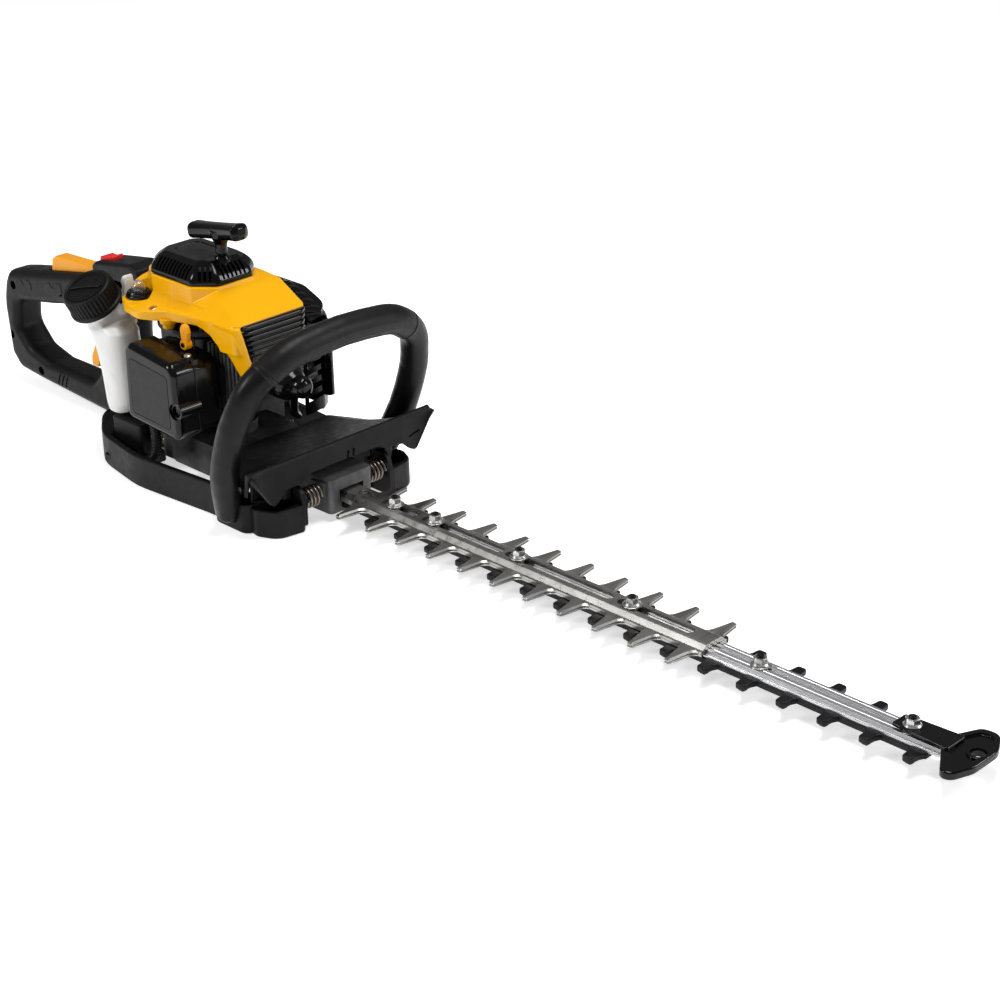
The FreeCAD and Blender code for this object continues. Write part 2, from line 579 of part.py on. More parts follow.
def starter_cover():
    flange = prism("z", STARTER_BASE_PLAN, STARTER_BASE, STARTER_BASE + 2.5, 4)
    flange = flange.cut(prism("z", shrink(STARTER_BASE_PLAN, (CRANK_X, 0), WALL), 171, 176, 3))
    shell = fuse([starter_shell(0, STARTER_BASE, STARTER_TOP), flange])
    room = starter_shell(WALL, STARTER_BASE - 0.01, STARTER_TOP - 2)
    snout = rod(6, V(PULL_EXIT.x, 0, 180), PULL_EXIT)
    rope_hole = rod(2.6, V(PULL_EXIT.x, 0, 170), V(PULL_EXIT.x, 0, 210))
    panel = prism("z", eight_sided(22, 14, 3), STARTER_TOP - 1, STARTER_TOP + 2, 3)
    post = rod(4 - FIT, V(CRANK_X, 0, 161), V(CRANK_X, 0, STARTER_TOP - 1.5))
    return fuse([cut(fuse([shell, snout]), [room.cut(snout), rope_hole, panel]), post])


def starter_reel():
    axis = lambda z: V(CRANK_X, 0, z)
    drum = rod(22, axis(166), axis(174))
    groove = tube(23, 19, axis(168), axis(172))
    hub = rod(8, axis(160), axis(181))
    return cut(fuse([drum, hub]), [groove, rod(4, axis(150), axis(192))])


def recoil_spring():
    axis = lambda z: V(CRANK_X, 0, z)
    turns = [tube(9.5 + 2 * i + 0.8, 9.5 + 2 * i, axis(175), axis(180.5)) for i in range(5)]
    return Part.makeCompound(turns)


def starter_rope():
    return rod(1.6, V(PULL_EXIT.x, 0, 171), V(PULL_EXIT.x, 0, 196))


def starter_handle():
    """T-shaped pull whose bar rises towards the front."""
    x = PULL_EXIT.x
    section = [(-7, 0), (7, 0), (9.5, 5), (6, 11), (-6, 11), (-9.5, 5)]
    bar = prism("x", section, x - 39, x + 33, 2.5)
    bar = bar.rotate(V(x, 0, 0), AXES["y"], -BAR_TILT).translate(V(0, 0, 206))
    stem = cone(5, 7, V(x, 0, PULL_EXIT.z + 1), V(x, 0, 208))
    return cut(fuse([bar, stem]), [rod(1.8, V(x, 0, 190), V(x, 0, 197))])


# ---- fuel ---------------------------------------------------------------------------

def cap_point(height):
    return CAP_BASE + CAP_AXIS * height


def fuel_tank():
    outline = [(-333, 126), (-321, 107), (-316, 81), (-311, 50), (-297, 44), (-285, 56), (-287, 118),
               (-304, 125), (-340, 134)]
    outer = prism("y", outline, -72, -36, (6, 14, 14, 8, 8, 12, 8, 6, 6))
    inner = prism("y", shrink(outline, (-306, 90), WALL), -72 + WALL, -36 - WALL,
                  (4, 12, 12, 6, 6, 10, 6, 4, 4))
    neck = rod(17, CAP_BASE - CAP_AXIS * 30, cap_point(10)).cut(box((-307, -280), (-90, 0), (118, 180)))
    horn = prism("y", [(-314, 120), (-313, 158), (-307.5, 166), (-306.6, 158), (-306.6, 120)], -41, -31,
                 (0, 6, 1, 2, 0))
    bore = rod(14, CAP_BASE - CAP_AXIS * 24, cap_point(12))
    clear = box((-283.5, -270), (-90, -20), (30, 150))
    cap_room = rod(26.5, cap_point(-2.2), cap_point(22)).cut(rod(17.2, cap_point(-3), cap_point(23)))
    return cut(fuse([outer, neck, horn]), [inner, bore, clear, cap_room])


def fuel_cap():
    skirt = rod(24, cap_point(-2), cap_point(19))
    flange = rod(25.5, cap_point(-2), cap_point(1.5))
    room = rod(17.6, cap_point(-3), cap_point(14))
    knurls = []
    for i in range(24):
        ridge = rod(0.9, cap_point(2), cap_point(18)).translate(V(24, 0, 0))
        knurls.append(ridge.rotate(CAP_BASE, CAP_AXIS, 15 * i))
    return cut(fuse([skirt, flange] + knurls), [room])


def primer_ring():
    return tube(11.2, 8.0, PRIMER, PRIMER + V(0, 0, 5)).fuse(tube(8.3, 6.9, PRIMER - V(0, 0, 8),
                                                                  PRIMER + V(0, 0, 1)))


def primer_bulb():
    dome = rod(6.5, PRIMER - V(0, 0, 1), PRIMER + V(0, 0, 8)).fuse(Part.makeSphere(6.5,
                                                                                   PRIMER + V(0, 0, 8)))
    hollow = rod(5.3, PRIMER - V(0, 0, 2), PRIMER + V(0, 0, 8)).fuse(Part.makeSphere(5.3,
                                                                                     PRIMER + V(0, 0, 8)))
    return dome.cut(hollow)


def fuel_lines():
    supply = hose([V(-283, -46, 70), V(-270, -44, 72), V(-244, -46, 84), V(-219.8, -46, 90)], 12, 2.2)
    back = hose([V(-283, -42, 100), V(-272, -40, 104), V(-250, -44, 112), V(-232, -46, 112),
                 V(-219.5, -46, 106)],
                10, 2.2)
    return Part.makeCompound([supply, back])


# ---- rear handle --------------------------------------------------------------------

HANDLE_OUTER = [(-541, 98), (-534, 110), (-514, 114.5), (-466, 124), (-396, 137.5), (-346, 137.5),
                (-346, 30), (-356, 2), (-404, 4.5), (-494, 9.5), (-530, 12.5), (-542.5, 26), (-546.7, 78)]
HANDLE_OUTER_BENDS = (14, 10, 16, 40, 10, 4, 8, 8, 30, 20, 12, 12, 60)
HANDLE_OPEN = [(-522, 82), (-466, 92), (-441, 97.5), (-398, 101), (-398, 44), (-410, 31), (-480, 31),
               (-508, 38), (-526, 56)]
HANDLE_OPEN_BENDS = (9, 20, 14, 6, 8, 9, 14, 14, 12)


def handle_half(side):
    def slab(points, inner, outer, radius):
        low, high = sorted((side * inner, side * outer))
        return prism("y", points, low, high, radius)
    outer = slab(HANDLE_OUTER, 0.05, GRIP_HALF, HANDLE_OUTER_BENDS)
    opening = slab(HANDLE_OPEN, -1, GRIP_HALF + 1, HANDLE_OPEN_BENDS)
    rear_room = slab([(-541, 86), (-529.5, 84), (-529.5, 58), (-539.5, 56)], -1, GRIP_HALF - 3, 2)
    lever_room = box((-474, -393), (-7.7, 7.7), (108, 160))
    trigger_room = box((-412, -372), (-7.7, 7.7), (26, 128))
    screws = [rod(3.2, V(x, 0, z), V(x, side * 30, z)) for x, z in HANDLE_SCREWS]
    wire_room = box((-380, -340), (-12, 12), (116, 160))
    return cut(outer, [opening, rear_room, lever_room, trigger_room, wire_room] + screws)


HANDLE_SCREWS = ((-524, 98), (-447, 109), (-536, 46), (-492, 20), (-372, 20), (-362, 108))


def handle_screws():
    screws = []
    for x, z in HANDLE_SCREWS:
        screw = rod(3.1, V(x, -10, z), V(x, -5, z)).fuse(rod(1.9, V(x, -5, z), V(x, 12, z)))
        screws.append(screw.cut(box((x - 0.5, x + 0.5), (-11, -8), (z - 2.2, z + 2.2))))
    return Part.makeCompound(screws)


TRIGGER_PIVOT = V(-386, 0, 110)
LOCKOUT_PIVOT = V(-402, 0, 128)
ROCKER_PIVOT = V(-382, 0, 150.3)


def throttle_trigger():
    outline = [(-394, 117), (-379, 117), (-379, 100), (-392, 70), (-412, 42), (-421, 42), (-421, 51),
               (-408, 74), (-397, 102)]
    lever = prism("y", outline, -6.5, 6.5, (3, 3, 6, 20, 3, 2, 3, 20, 4))
    return lever.cut(rod(2 + FIT, TRIGGER_PIVOT - V(0, 8, 0), TRIGGER_PIVOT + V(0, 8, 0)))


def throttle_lockout():
    outline = [(-471, 118), (-468.5, 134), (-462, 138.5), (-412, 141), (-398, 141.5), (-396.4, 137),
               (-396.4, 122.5), (-440, 118)]
    lever = prism("y", outline, -6.5, 6.5, (2, 3, 4, 10, 2, 2, 2, 10))
    return lever.cut(rod(2 + FIT, LOCKOUT_PIVOT - V(0, 8, 0), LOCKOUT_PIVOT + V(0, 8, 0)))


def handle_pins():
    return Part.makeCompound([rod(2, pivot - V(0, 7.6, 0), pivot + V(0, 7.6, 0))
                              for pivot in (TRIGGER_PIVOT, LOCKOUT_PIVOT)])


def switch_housing():
    outline = [(-394.5, 137.6), (-394, 147.5), (-388, 151.8), (-366, 155.5), (-338, 160), (-326, 157),
               (-320, 148), (-320, 120), (-345.8, 120), (-345.8, 137.6)]
    outer = prism("y", outline, -15, 15, (1, 4, 8, 20, 8, 5, 5, 3, 0, 0))
    rocker_room = box((-392.5, -370.5), (-7.3, 7.3), (144.8, 175))
    room = box((-343, -323), (-12, 12), (117, 148))
    pin = rod(1.5, ROCKER_PIVOT - V(0, 8, 0), ROCKER_PIVOT + V(0, 8, 0))
    return cut(outer, [rocker_room, room]).fuse(pin)


def stop_switch():
    reach = [(-9.3, -2), (-8.6, 4.8), (0, 5), (8.6, 9.4), (9.3, 1), (5, -3.5), (-5, -5)]
    outline = [(ROCKER_PIVOT.x + x, ROCKER_PIVOT.z + z) for x, z in reach]
    rocker = prism("y", outline, -6.9, 6.9, (1, 1, 4, 1, 1, 1, 1))
    return rocker.cut(rod(1.5 + FIT, ROCKER_PIVOT - V(0, 8, 0), ROCKER_PIVOT + V(0, 8, 0)))


# ---- chassis ------------------------------------------------------------------------

BAND = [(-98, -44), (-98, -78), (-160, -80), (-250, -88), (-312, -77), (-348, -50), (-366, -16)]
BAND_INNER = [(-103, -44), (-103, -73), (-160, -75), (-250, -83), (-309, -72.5), (-344, -47), (-361, -14)]
BAND_BENDS = [0, 14, 60, 90, 60, 40, 20]


def band_face(path):
    near = [V(x, y, 0) for x, y in path]
    far = [V(x, -y, 0) for x, y in reversed(path)]
    return Part.Face(rounded_wire(near + far, BAND_BENDS + BAND_BENDS[::-1]))


def handle_points():
    near = [(-83, 12), (-99, 56), (-99, 100), (-88, 136), (-58, 156), (0, 162.5)]
    far = [(-y, z) for y, z in reversed(near[:-1])]
    return [V(-98 + HANDLE_LEAN * (z - 96), y, z) for y, z in near + far]


def handle_rod(radius):
    return hose(handle_points(), HANDLE_BENDS, radius)


def front_handle():
    return handle_rod(HANDLE_TUBE).cut(handle_rod(HANDLE_TUBE - 3))


def chassis():
    """Band round the engine, open at the front, with the arms that hold the springs."""
    height = V(0, 0, BAND_HEIGHT)
    walls = band_face(BAND).extrude(height).cut(band_face(BAND_INNER).extrude(height))
    walls = walls.cut(box((-110, -90), (-43, 43), (-1, 60)))
    arms = both_sides(box((-103, -74), (45, 50), (4, 38)))
    blocks = both_sides(box((-306, -266), (42, 68), (4, 44)))
    shelves = both_sides(box((-306, -266), (64, 80), (4, 12)))
    saddle = box((-362, -345.8), (-22, 22), (0, 24))
    sockets = both_sides(prism("z", [(-150, 64), (-106, 64), (-101, 74), (-106, 86), (-150, 86)], 0, 26, 6))
    body = fuse([walls, saddle] + arms + blocks + shelves + sockets)
    return cut(body, [handle_rod(HANDLE_TUBE), prism("y", HANDLE_OUTER, -GRIP_HALF - 0.05,
                                                     GRIP_HALF + 0.05, 0)])


def front_grip():
    """Soft sleeve over the top of the front handle."""
    sleeve = handle_rod(HANDLE_TUBE + 0.8).cut(handle_rod(HANDLE_TUBE))
    return sleeve.common(box((-150, 0), (-GRIP_REACH, GRIP_REACH), (120, 200)))


def hand_shield():
    deck = [V(-80, -101, 54), V(-80, 101, 54), V(-166, 56, 44), V(-166, -56, 44)]
    top = Part.Face(rounded_wire(deck, (10, 10, 8, 8)))
    plate = top.extrude(V(0, 0, 3))
    lip = prism("x", [(-101, 54), (-86, 28), (-78, 28), (-66, 40), (-30, 47), (30, 44), (66, 40), (78, 28),
                      (86, 28), (101, 54), (60, 61), (-60, 61)],
                -83, -80, (3, 4, 4, 10, 20, 20, 10, 4, 4, 3, 20, 20))
    feet = both_sides(box((-103, -83), (51, 60), (28, 50)))
    return fuse([plate, lip] + feet).cut(handle_rod(HANDLE_TUBE))


def av_springs():
    springs = []
    for side in (-1, 1):
        springs.append(spring(8, 1.1, 3.8, 4, V(-84, side * 27.3, 24), V(0, side, 0)))
        springs.append(spring(8, 1.2, 4.1, 5, V(-263.5, side * 52, 32), AXES["x"]))
    return Part.makeCompound(springs)


def spring_seats():
    seats = []
    for side in (-1, 1):
        for start, out in ((V(-84, side * 45, 24), V(0, -side, 0)), (V(-266, side * 52, 32), AXES["x"])):
            seats.append(rod(9.5, start, start + out * 1.2).fuse(cone(6.5, 5, start, start + out * 6)))
    return Part.makeCompound(seats)


def throttle_conduit():
    route = [V(-265.9, -70, 18), V(-252, -73, 17), V(-240, -72, 26), V(-238, -71, 42), V(-238, -72, 56.6)]
    return hose(route, (0, 16, 16, 60, 0), 4.5)


SUB_PARTS = (
    comb_guard, guide_bar, blade_bolts, blade_spacers, blade_nuts, tip_guard,
    gearcase_lower, gearcase_upper, gearcase_screws, bearings, drive_gear, clutch_drum,
    clutch_housing, clutch_shoes, crankshaft, connecting_rod, piston, cylinder, crankcase,
    spark_plug, spark_plug_boot, flywheel, ignition_coil, intake_insulator, carburettor,
    air_box_base, air_box_cover, air_filter, choke_lever, muffler, muffler_cover, engine_cover,
    front_grille, starter_cover, starter_reel, recoil_spring, starter_rope,
    starter_handle, fuel_tank, fuel_cap, primer_ring, primer_bulb, fuel_lines, handle_screws,
    throttle_trigger, throttle_lockout, handle_pins, switch_housing, stop_switch, chassis,
    front_handle, front_grip, hand_shield, av_springs, spring_seats, throttle_conduit,
)


def main():
    os.makedirs("parts", exist_ok=True)
    shapes = {make.__name__: make() for make in SUB_PARTS}
    shapes["upper_blade"] = blade(TEETH_TOP)
    shapes["lower_blade"] = blade(TEETH_TOP - BLADE_STEP)
    shapes["rear_handle_near"] = handle_half(-1)
    shapes["rear_handle_far"] = handle_half(1)
    for name, shape in shapes.items():
        shape.exportStep("parts/" + name + ".step")


main()
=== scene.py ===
"""Looks of a petrol hedge trimmer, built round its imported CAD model.

Lengths are in millimetres in the row frame, as in the part's source, and every mesh is
scaled to metres when it becomes an object.  +X runs to the tip of the blades, +Z is up.
"""
import json
import math

import bmesh
import bpy
from mathutils import Matrix, Vector


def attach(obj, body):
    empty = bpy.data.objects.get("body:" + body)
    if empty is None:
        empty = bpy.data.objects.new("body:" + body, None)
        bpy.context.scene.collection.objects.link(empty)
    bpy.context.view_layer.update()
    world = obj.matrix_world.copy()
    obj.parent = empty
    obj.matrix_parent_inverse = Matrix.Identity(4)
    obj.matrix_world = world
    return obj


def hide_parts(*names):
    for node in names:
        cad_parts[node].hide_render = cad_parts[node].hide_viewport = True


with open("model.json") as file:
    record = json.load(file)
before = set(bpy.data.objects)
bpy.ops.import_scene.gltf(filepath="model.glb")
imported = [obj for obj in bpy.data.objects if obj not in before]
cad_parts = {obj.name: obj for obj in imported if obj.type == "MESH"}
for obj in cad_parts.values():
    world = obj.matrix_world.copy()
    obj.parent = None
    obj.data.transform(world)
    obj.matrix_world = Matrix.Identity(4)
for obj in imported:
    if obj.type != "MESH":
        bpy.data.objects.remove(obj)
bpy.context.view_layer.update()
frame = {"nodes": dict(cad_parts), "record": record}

MM = 0.001
ARC = math.radians(10)       # turn spanned by one edge of a rounded corner
RIM_STEPS = 4                # edges across a rounded rim
SHARP = math.radians(34)     # edges that turn by more than this stay crisp
X, Y, Z = Vector((1, 0, 0)), Vector((0, 1, 0)), Vector((0, 0, 1))


# ---- places shared with the CAD -----------------------------------------------------

CRANK_X = -250.0
GEAR_X = -216.25
BORE_Z = 98.0
STARTER_BASE, STARTER_TOP = 172.0, 190.0
PULL_EXIT = Vector((-222, 0, 192))
CAP_BASE = Vector((-322, -62, 142))
CAP_AXIS = Vector((0, -0.47, 0.883)).normalized()
PRIMER = Vector((-286, -42, 151))
CHOKE_PIVOT = Vector((-208, -54.4, 131))
BOLTS = (-18.0, 29.0, 122.0, 238.0, 358.0, 486.0)
PITCH, TEETH, FIRST_TOOTH, TOOTH_REACH = 35.0, 11, -46.0, 38.0
SPINE_HALF, FLANK_HALF = 8.25, 12.45
SHEET, SPINE_RISE = 1.8, 4.2
BLADE_START, BLADE_END = -66, 316
HANGING_HOLE, HANGING_RADIUS = Vector((536, 2.5, 0)), 5.25
BAR_TOP = 20.5


# ---- outlines -----------------------------------------------------------------------

def rounded(points, radius):
    """A closed outline with rounded corners, as 2D vectors."""
    count = len(points)
    made = []
    for i, point in enumerate(points):
        r = radius[i] if isinstance(radius, (list, tuple)) else radius
        corner = Vector(point)
        back, onward = Vector(points[i - 1]) - corner, Vector(points[(i + 1) % count]) - corner
        half = back.angle(onward) / 2
        reach = min(r / math.tan(half), 0.49 * back.length, 0.49 * onward.length)
        if r <= 0 or reach < 0.01:
            made.append(corner)
            continue
        back, onward = back.normalized(), onward.normalized()
        r = reach * math.tan(half)
        centre = corner + (back + onward).normalized() * (r / math.sin(half))
        arm, end = corner + back * reach - centre, corner + onward * reach - centre
        turn = (math.pi - 2 * half) * (1 if arm.x * end.y > arm.y * end.x else -1)
        steps = max(2, math.ceil(abs(turn) / ARC))
        for k in range(steps + 1):
            made.append(centre + Matrix.Rotation(turn * k / steps, 2) @ arm)
    return made


def inset(outline, step):
    """The outline moved inwards by step."""
    count = len(outline)
    area = sum(a.x * b.y - b.x * a.y for a, b in zip(outline, outline[1:] + outline[:1]))
    side = 1 if area > 0 else -1
    moved = []
    for i, point in enumerate(outline):
        before = (point - outline[i - 1]).normalized()
        after = (outline[(i + 1) % count] - point).normalized()
        across = Vector((-before.y - after.y, before.x + after.x)).normalized() * side
        reach = step / max(0.35, across.dot(Vector((-before.y, before.x)) * side))
        moved.append(point + across * reach)
    return moved


def shrink(points, middle, step):
    """Each point moved towards the middle by the same step on both axes."""
    return [(a - math.copysign(step, a - middle[0]), b - math.copysign(step, b - middle[1])) for a,
            b in points]


def mirrored(points):
    """A half outline closed by its mirror image across the middle plane."""
    return points + [(x, -y) for x, y in reversed(points)]


def span(side, a, b):
    """The stretch from a to b on one side of the middle plane, in rising order."""
    return tuple(sorted((side * a, side * b)))


# ---- solids -------------------------------------------------------------------------

def linked(made):
    """The object, put into the scene."""
    bpy.context.scene.collection.objects.link(made)
    return made


def solid(points, faces):
    """A loose object of these points in millimetres, with its faces turned outwards."""
    mesh = bpy.data.meshes.new("shape")
    mesh.from_pydata([Vector(p) * MM for p in points], [], faces)
    work = bmesh.new()
    work.from_mesh(mesh)
    bmesh.ops.remove_doubles(work, verts=work.verts, dist=1e-7)
    bmesh.ops.recalc_face_normals(work, faces=work.faces)
    work.to_mesh(mesh)
    work.free()
    return linked(bpy.data.objects.new("shape", mesh))


def loft(rings, closed=False):
    """A skin over rings of equal length, capped unless it closes on itself."""
    count = len(rings[0])
    points = [p for ring in rings for p in ring]
    faces = []
    for k in range(len(rings) if closed else len(rings) - 1):
        low, high = k * count, (k + 1) % len(rings) * count
        for i in range(count):
            j = (i + 1) % count
            faces.append((low + i, low + j, high + j, high + i))
    if not closed:
        faces.append(tuple(range(count))[::-1])
        faces.append(tuple(range((len(rings) - 1) * count, len(rings) * count)))
    return solid(points, faces)


PLACE = {
    "x": lambda a, b, c: (c, a, b),
    "y": lambda a, b, c: (a, c, b),
    "z": lambda a, b, c: (a, b, c),
}


def rim_levels(rim):
    """(depth, inset) down a rounded rim: a negative rim flares outwards, for cutters."""
    if rim == 0:
        return [(0.0, 0.0)]
    levels = []
    for k in range(RIM_STEPS + 1):
        turn = math.pi / 2 * k / RIM_STEPS
        levels.append((abs(rim) * (1 - math.cos(turn)), rim * (1 - math.sin(turn))))
    if rim < 0:
        levels.insert(0, (-1.0, rim))
    return levels


def slab(axis, points, low, high, radius=0.0, rim=0.6, top_rim=None):
    """The outline run from low to high along the axis, with rounded rims at both ends."""
    flat = rounded(points, radius)
    top_rim = rim if top_rim is None else top_rim
    levels = [(low + depth, step) for depth, step in rim_levels(rim)]
    levels += [(high - depth, step) for depth, step in reversed(rim_levels(top_rim))]
    place = PLACE[axis]
    return loft([[place(p.x, p.y, level) for p in inset(flat, step)] for level, step in levels])


def box(x, y, z, rim=0.0, radius=0.0):
    return slab("z", [(x[0], y[0]), (x[1], y[0]), (x[1], y[1]), (x[0], y[1])], z[0], z[1], radius, rim)


def ring_at(centre, axis, radius, sides, start=None):
    side = (start or axis.orthogonal()).normalized()
    other = axis.cross(side).normalized()
    turns = [2 * math.pi * k / sides for k in range(sides)]
    return [centre + (side * math.cos(t) + other * math.sin(t)) * radius for t in turns]


def lathe(profile, base, axis, sides=48):
    """A closed solid turned about the axis, from (radius, height) pairs."""
    axis = Vector(axis).normalized()
    base = Vector(base)
    start = axis.orthogonal()
    rings = [ring_at(base + axis * h, axis, max(r, 0.01), sides, start) for r, h in profile]
    closed = profile[0] == profile[-1]
    return loft(rings[:-1] if closed else rings, closed)


def rod(radius, start, end, sides=32, rim=0.0):
    start, end = Vector(start), Vector(end)
    length = (end - start).length
    profile = [(radius - step, depth) for depth, step in rim_levels(rim)]
    profile += [(radius - step, length - depth) for depth, step in reversed(rim_levels(rim))]
    return lathe(profile, start, end - start, sides)


def pin_room(pivot, radius=2.05, sides=24, reach=8):
    """A bar across the machine through a pivot, to cut its hole or to be its pin."""
    return rod(radius, pivot - Y * reach, pivot + Y * reach, sides)


def bent(points, radius):
    """An open 3D route: straight runs joined by tangent arcs."""
    made = [Vector(points[0])]
    for i in range(1, len(points) - 1):
        r = radius[i] if isinstance(radius, (list, tuple)) else radius
        corner = Vector(points[i])
        back, onward = Vector(points[i - 1]) - corner, Vector(points[i + 1]) - corner
        half = back.angle(onward) / 2
        reach = min(r / math.tan(half), 0.49 * back.length, 0.49 * onward.length)
        r = reach * math.tan(half)
        back, onward = back.normalized(), onward.normalized()
        centre = corner + (back + onward).normalized() * (r / math.sin(half))
        arm = corner + back * reach - centre
        turn_axis = arm.cross(corner + onward * reach - centre)
        turn = math.pi - 2 * half
        steps = max(2, math.ceil(turn / ARC))
        made += [centre + Matrix.Rotation(turn * k / steps, 3, turn_axis) @ arm for k in range(steps + 1)]
    return made + [Vector(points[-1])]


def spaced(route, step):
    """Points along the route, evenly spaced."""
    lengths = [0.0]
    for a, b in zip(route, route[1:]):
        lengths.append(lengths[-1] + (b - a).length)
    count = max(2, round(lengths[-1] / step))
    made, k = [], 0
    for i in range(count + 1):
        at = lengths[-1] * i / count
        while k < len(route) - 2 and lengths[k + 1] < at:
            k += 1
        run = max(lengths[k + 1] - lengths[k], 1e-9)
        made.append(route[k].lerp(route[k + 1], (at - lengths[k]) / run))
    return made


def sweep(route, radius, sides=24, closed=False):
    """A round bar along the route; radius is a number or a function of the share of the way."""
    size = radius if callable(radius) else (lambda share: radius)
    count = len(route)
    side = None
    rings = []
    for i, point in enumerate(route):
        before = route[i - 1] if i or closed else point
        after = route[(i + 1) % count] if i < count - 1 or closed else point
        along = (after - before).normalized()
        side = along.orthogonal() if side is None else side - along * side.dot(along)
        rings.append(ring_at(point, along, size(i / (count - 1)), sides, side))
    return loft(rings, closed)


# ---- joining and cutting ------------------------------------------------------------

def settle(made):
    """The object's modifiers become its mesh."""
    bpy.context.view_layer.update()
    shown = made.evaluated_get(bpy.context.evaluated_depsgraph_get())
    mesh = bpy.data.meshes.new_from_object(shown)
    made.modifiers.clear()
    made.data = mesh
    return made


def combine(first, others, operation):
    for other in others:
        step = first.modifiers.new("step", "BOOLEAN")
        step.operation, step.solver, step.object = operation, "MANIFOLD", other
        settle(first)
        bpy.data.objects.remove(other)
    return first


def cut(first, cutters):
    return combine(first, cutters, "DIFFERENCE")


def join(parts):
    return combine(parts[0], parts[1:], "UNION")


def common(first, other):
    return combine(first, [other], "INTERSECT")


def heap(parts):
    """Separate solids in one object."""
    work = bmesh.new()
    for part in parts:
        work.from_mesh(part.data)
        bpy.data.objects.remove(part)
    mesh = bpy.data.meshes.new("shape")
    work.to_mesh(mesh)
    work.free()
    return linked(bpy.data.objects.new("shape", mesh))


def soften(made, voxel, passes, keep=1.0):
    """Melts the solids of an object into one skin with soft inner and outer corners."""
    melt = made.modifiers.new("melt", "REMESH")
    melt.mode, melt.voxel_size = "VOXEL", voxel * MM
    ease = made.modifiers.new("ease", "SMOOTH")
    ease.factor, ease.iterations = 0.5, passes
    if keep < 1:
        thin = made.modifiers.new("thin", "DECIMATE")
        thin.ratio = keep
    return settle(made)


# ---- pieces -------------------------------------------------------------------------

def shade(made, sharp=SHARP):
    """Smooth faces with crisp edges where the surface turns sharply."""
    work = bmesh.new()
    work.from_mesh(made.data)
    bmesh.ops.dissolve_degenerate(work, dist=1e-7, edges=work.edges)
    for face in work.faces:
        face.smooth = True
    for edge in work.edges:
        edge.smooth = not edge.is_manifold or edge.calc_face_angle(0) < sharp
    work.to_mesh(made.data)
    work.free()
    weighted = made.modifiers.new("shading", "WEIGHTED_NORMAL")
    weighted.keep_sharp = True
    weighted.weight = 60


def piece(name, made, material, body="chassis", nodes=(), sharp=SHARP):
    """Names a finished shape, paints it and lets it ride on its body."""
    made.name = made.data.name = name
    made.data.materials.clear()
    made.data.materials.append(MATERIALS[material])
    shade(made, sharp)
    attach(made, body)
    if nodes:
        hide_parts(*nodes)
    return made


# ---- materials ----------------------------------------------------------------------

class Paint:
    """A Principled material with its nodes at hand."""

    def __init__(self, name, roughness, metallic=0.0, **constants):
        self.name = name
        self.material = bpy.data.materials.new(name)
        self.material.use_nodes = True
        self.nodes, self.links = self.material.node_tree.nodes, self.material.node_tree.links
        self.shader = next(n for n in self.nodes if n.type == "BSDF_PRINCIPLED")
        self.shader.inputs["Roughness"].default_value = roughness
        self.shader.inputs["Metallic"].default_value = metallic
        for socket, value in constants.items():
            self.shader.inputs[socket.replace("_", " ")].default_value = value
        self.place = self.nodes.new("ShaderNodeTexCoord").outputs["Object"]
        self.height = None

    def noise(self, scale, detail=3.0, stretch=(1, 1, 1), rough=0.55):
        """A noise with features of about 1/scale metres, stretched along the axes."""
        mapping = self.nodes.new("ShaderNodeMapping")
        mapping.inputs["Scale"].default_value = [scale / s for s in stretch]
        self.links.new(self.place, mapping.inputs["Vector"])
        noise = self.nodes.new("ShaderNodeTexNoise")
        noise.inputs["Scale"].default_value = 1.0
        noise.inputs["Detail"].default_value = detail
        noise.inputs["Roughness"].default_value = rough
        self.links.new(mapping.outputs["Vector"], noise.inputs["Vector"])
        return noise.outputs["Fac"]

    def cells(self, scale, feature="F1"):
        mapping = self.nodes.new("ShaderNodeMapping")
        mapping.inputs["Scale"].default_value = [scale] * 3
        self.links.new(self.place, mapping.inputs["Vector"])
        cells = self.nodes.new("ShaderNodeTexVoronoi")
        cells.feature = feature
        cells.inputs["Scale"].default_value = 1.0
        self.links.new(mapping.outputs["Vector"], cells.inputs["Vector"])
        return cells.outputs["Distance"]

    def wave(self, scale, direction="X", distortion=0.0):
        wave = self.nodes.new("ShaderNodeTexWave")
        wave.bands_direction = direction
        wave.inputs["Scale"].default_value = scale
        wave.inputs["Distortion"].default_value = distortion
        self.links.new(self.place, wave.inputs["Vector"])
        return wave.outputs["Fac"]

    def ramp(self, factor, stops):
        """Colours at positions along the factor."""
        ramp = self.nodes.new("ShaderNodeValToRGB")
        while len(ramp.color_ramp.elements) < len(stops):
            ramp.color_ramp.elements.new(0.5)
        for element, (at, colour) in zip(ramp.color_ramp.elements, stops):
            element.position = at
            element.color = (*colour, 1)
        self.links.new(factor, ramp.inputs["Fac"])
        return ramp.outputs["Color"]

    def spread(self, factor, low, high, start=0.3, end=0.7):
        spread = self.nodes.new("ShaderNodeMapRange")
        for socket, value in zip(("From Min", "From Max", "To Min", "To Max"), (start, end, low, high)):
            spread.inputs[socket].default_value = value
        self.links.new(factor, spread.inputs["Value"])
        return spread.outputs["Result"]

    def colour(self, factor, stops):
        self.links.new(self.ramp(factor, stops), self.shader.inputs["Base Color"])
        return self

    def roughness(self, factor, low, high, start=0.3, end=0.7):
        self.links.new(self.spread(factor, low, high, start, end), self.shader.inputs["Roughness"])
        return self

    def bump(self, factor, depth, strength=1.0):
        """Relief of this depth in millimetres."""
        bump = self.nodes.new("ShaderNodeBump")
        bump.inputs["Distance"].default_value = depth * MM
        bump.inputs["Strength"].default_value = strength
        self.links.new(factor, bump.inputs["Height"])
        if self.height:
            self.links.new(self.height, bump.inputs["Normal"])
        self.height = bump.outputs["Normal"]
        self.links.new(self.height, self.shader.inputs["Normal"])
        return self


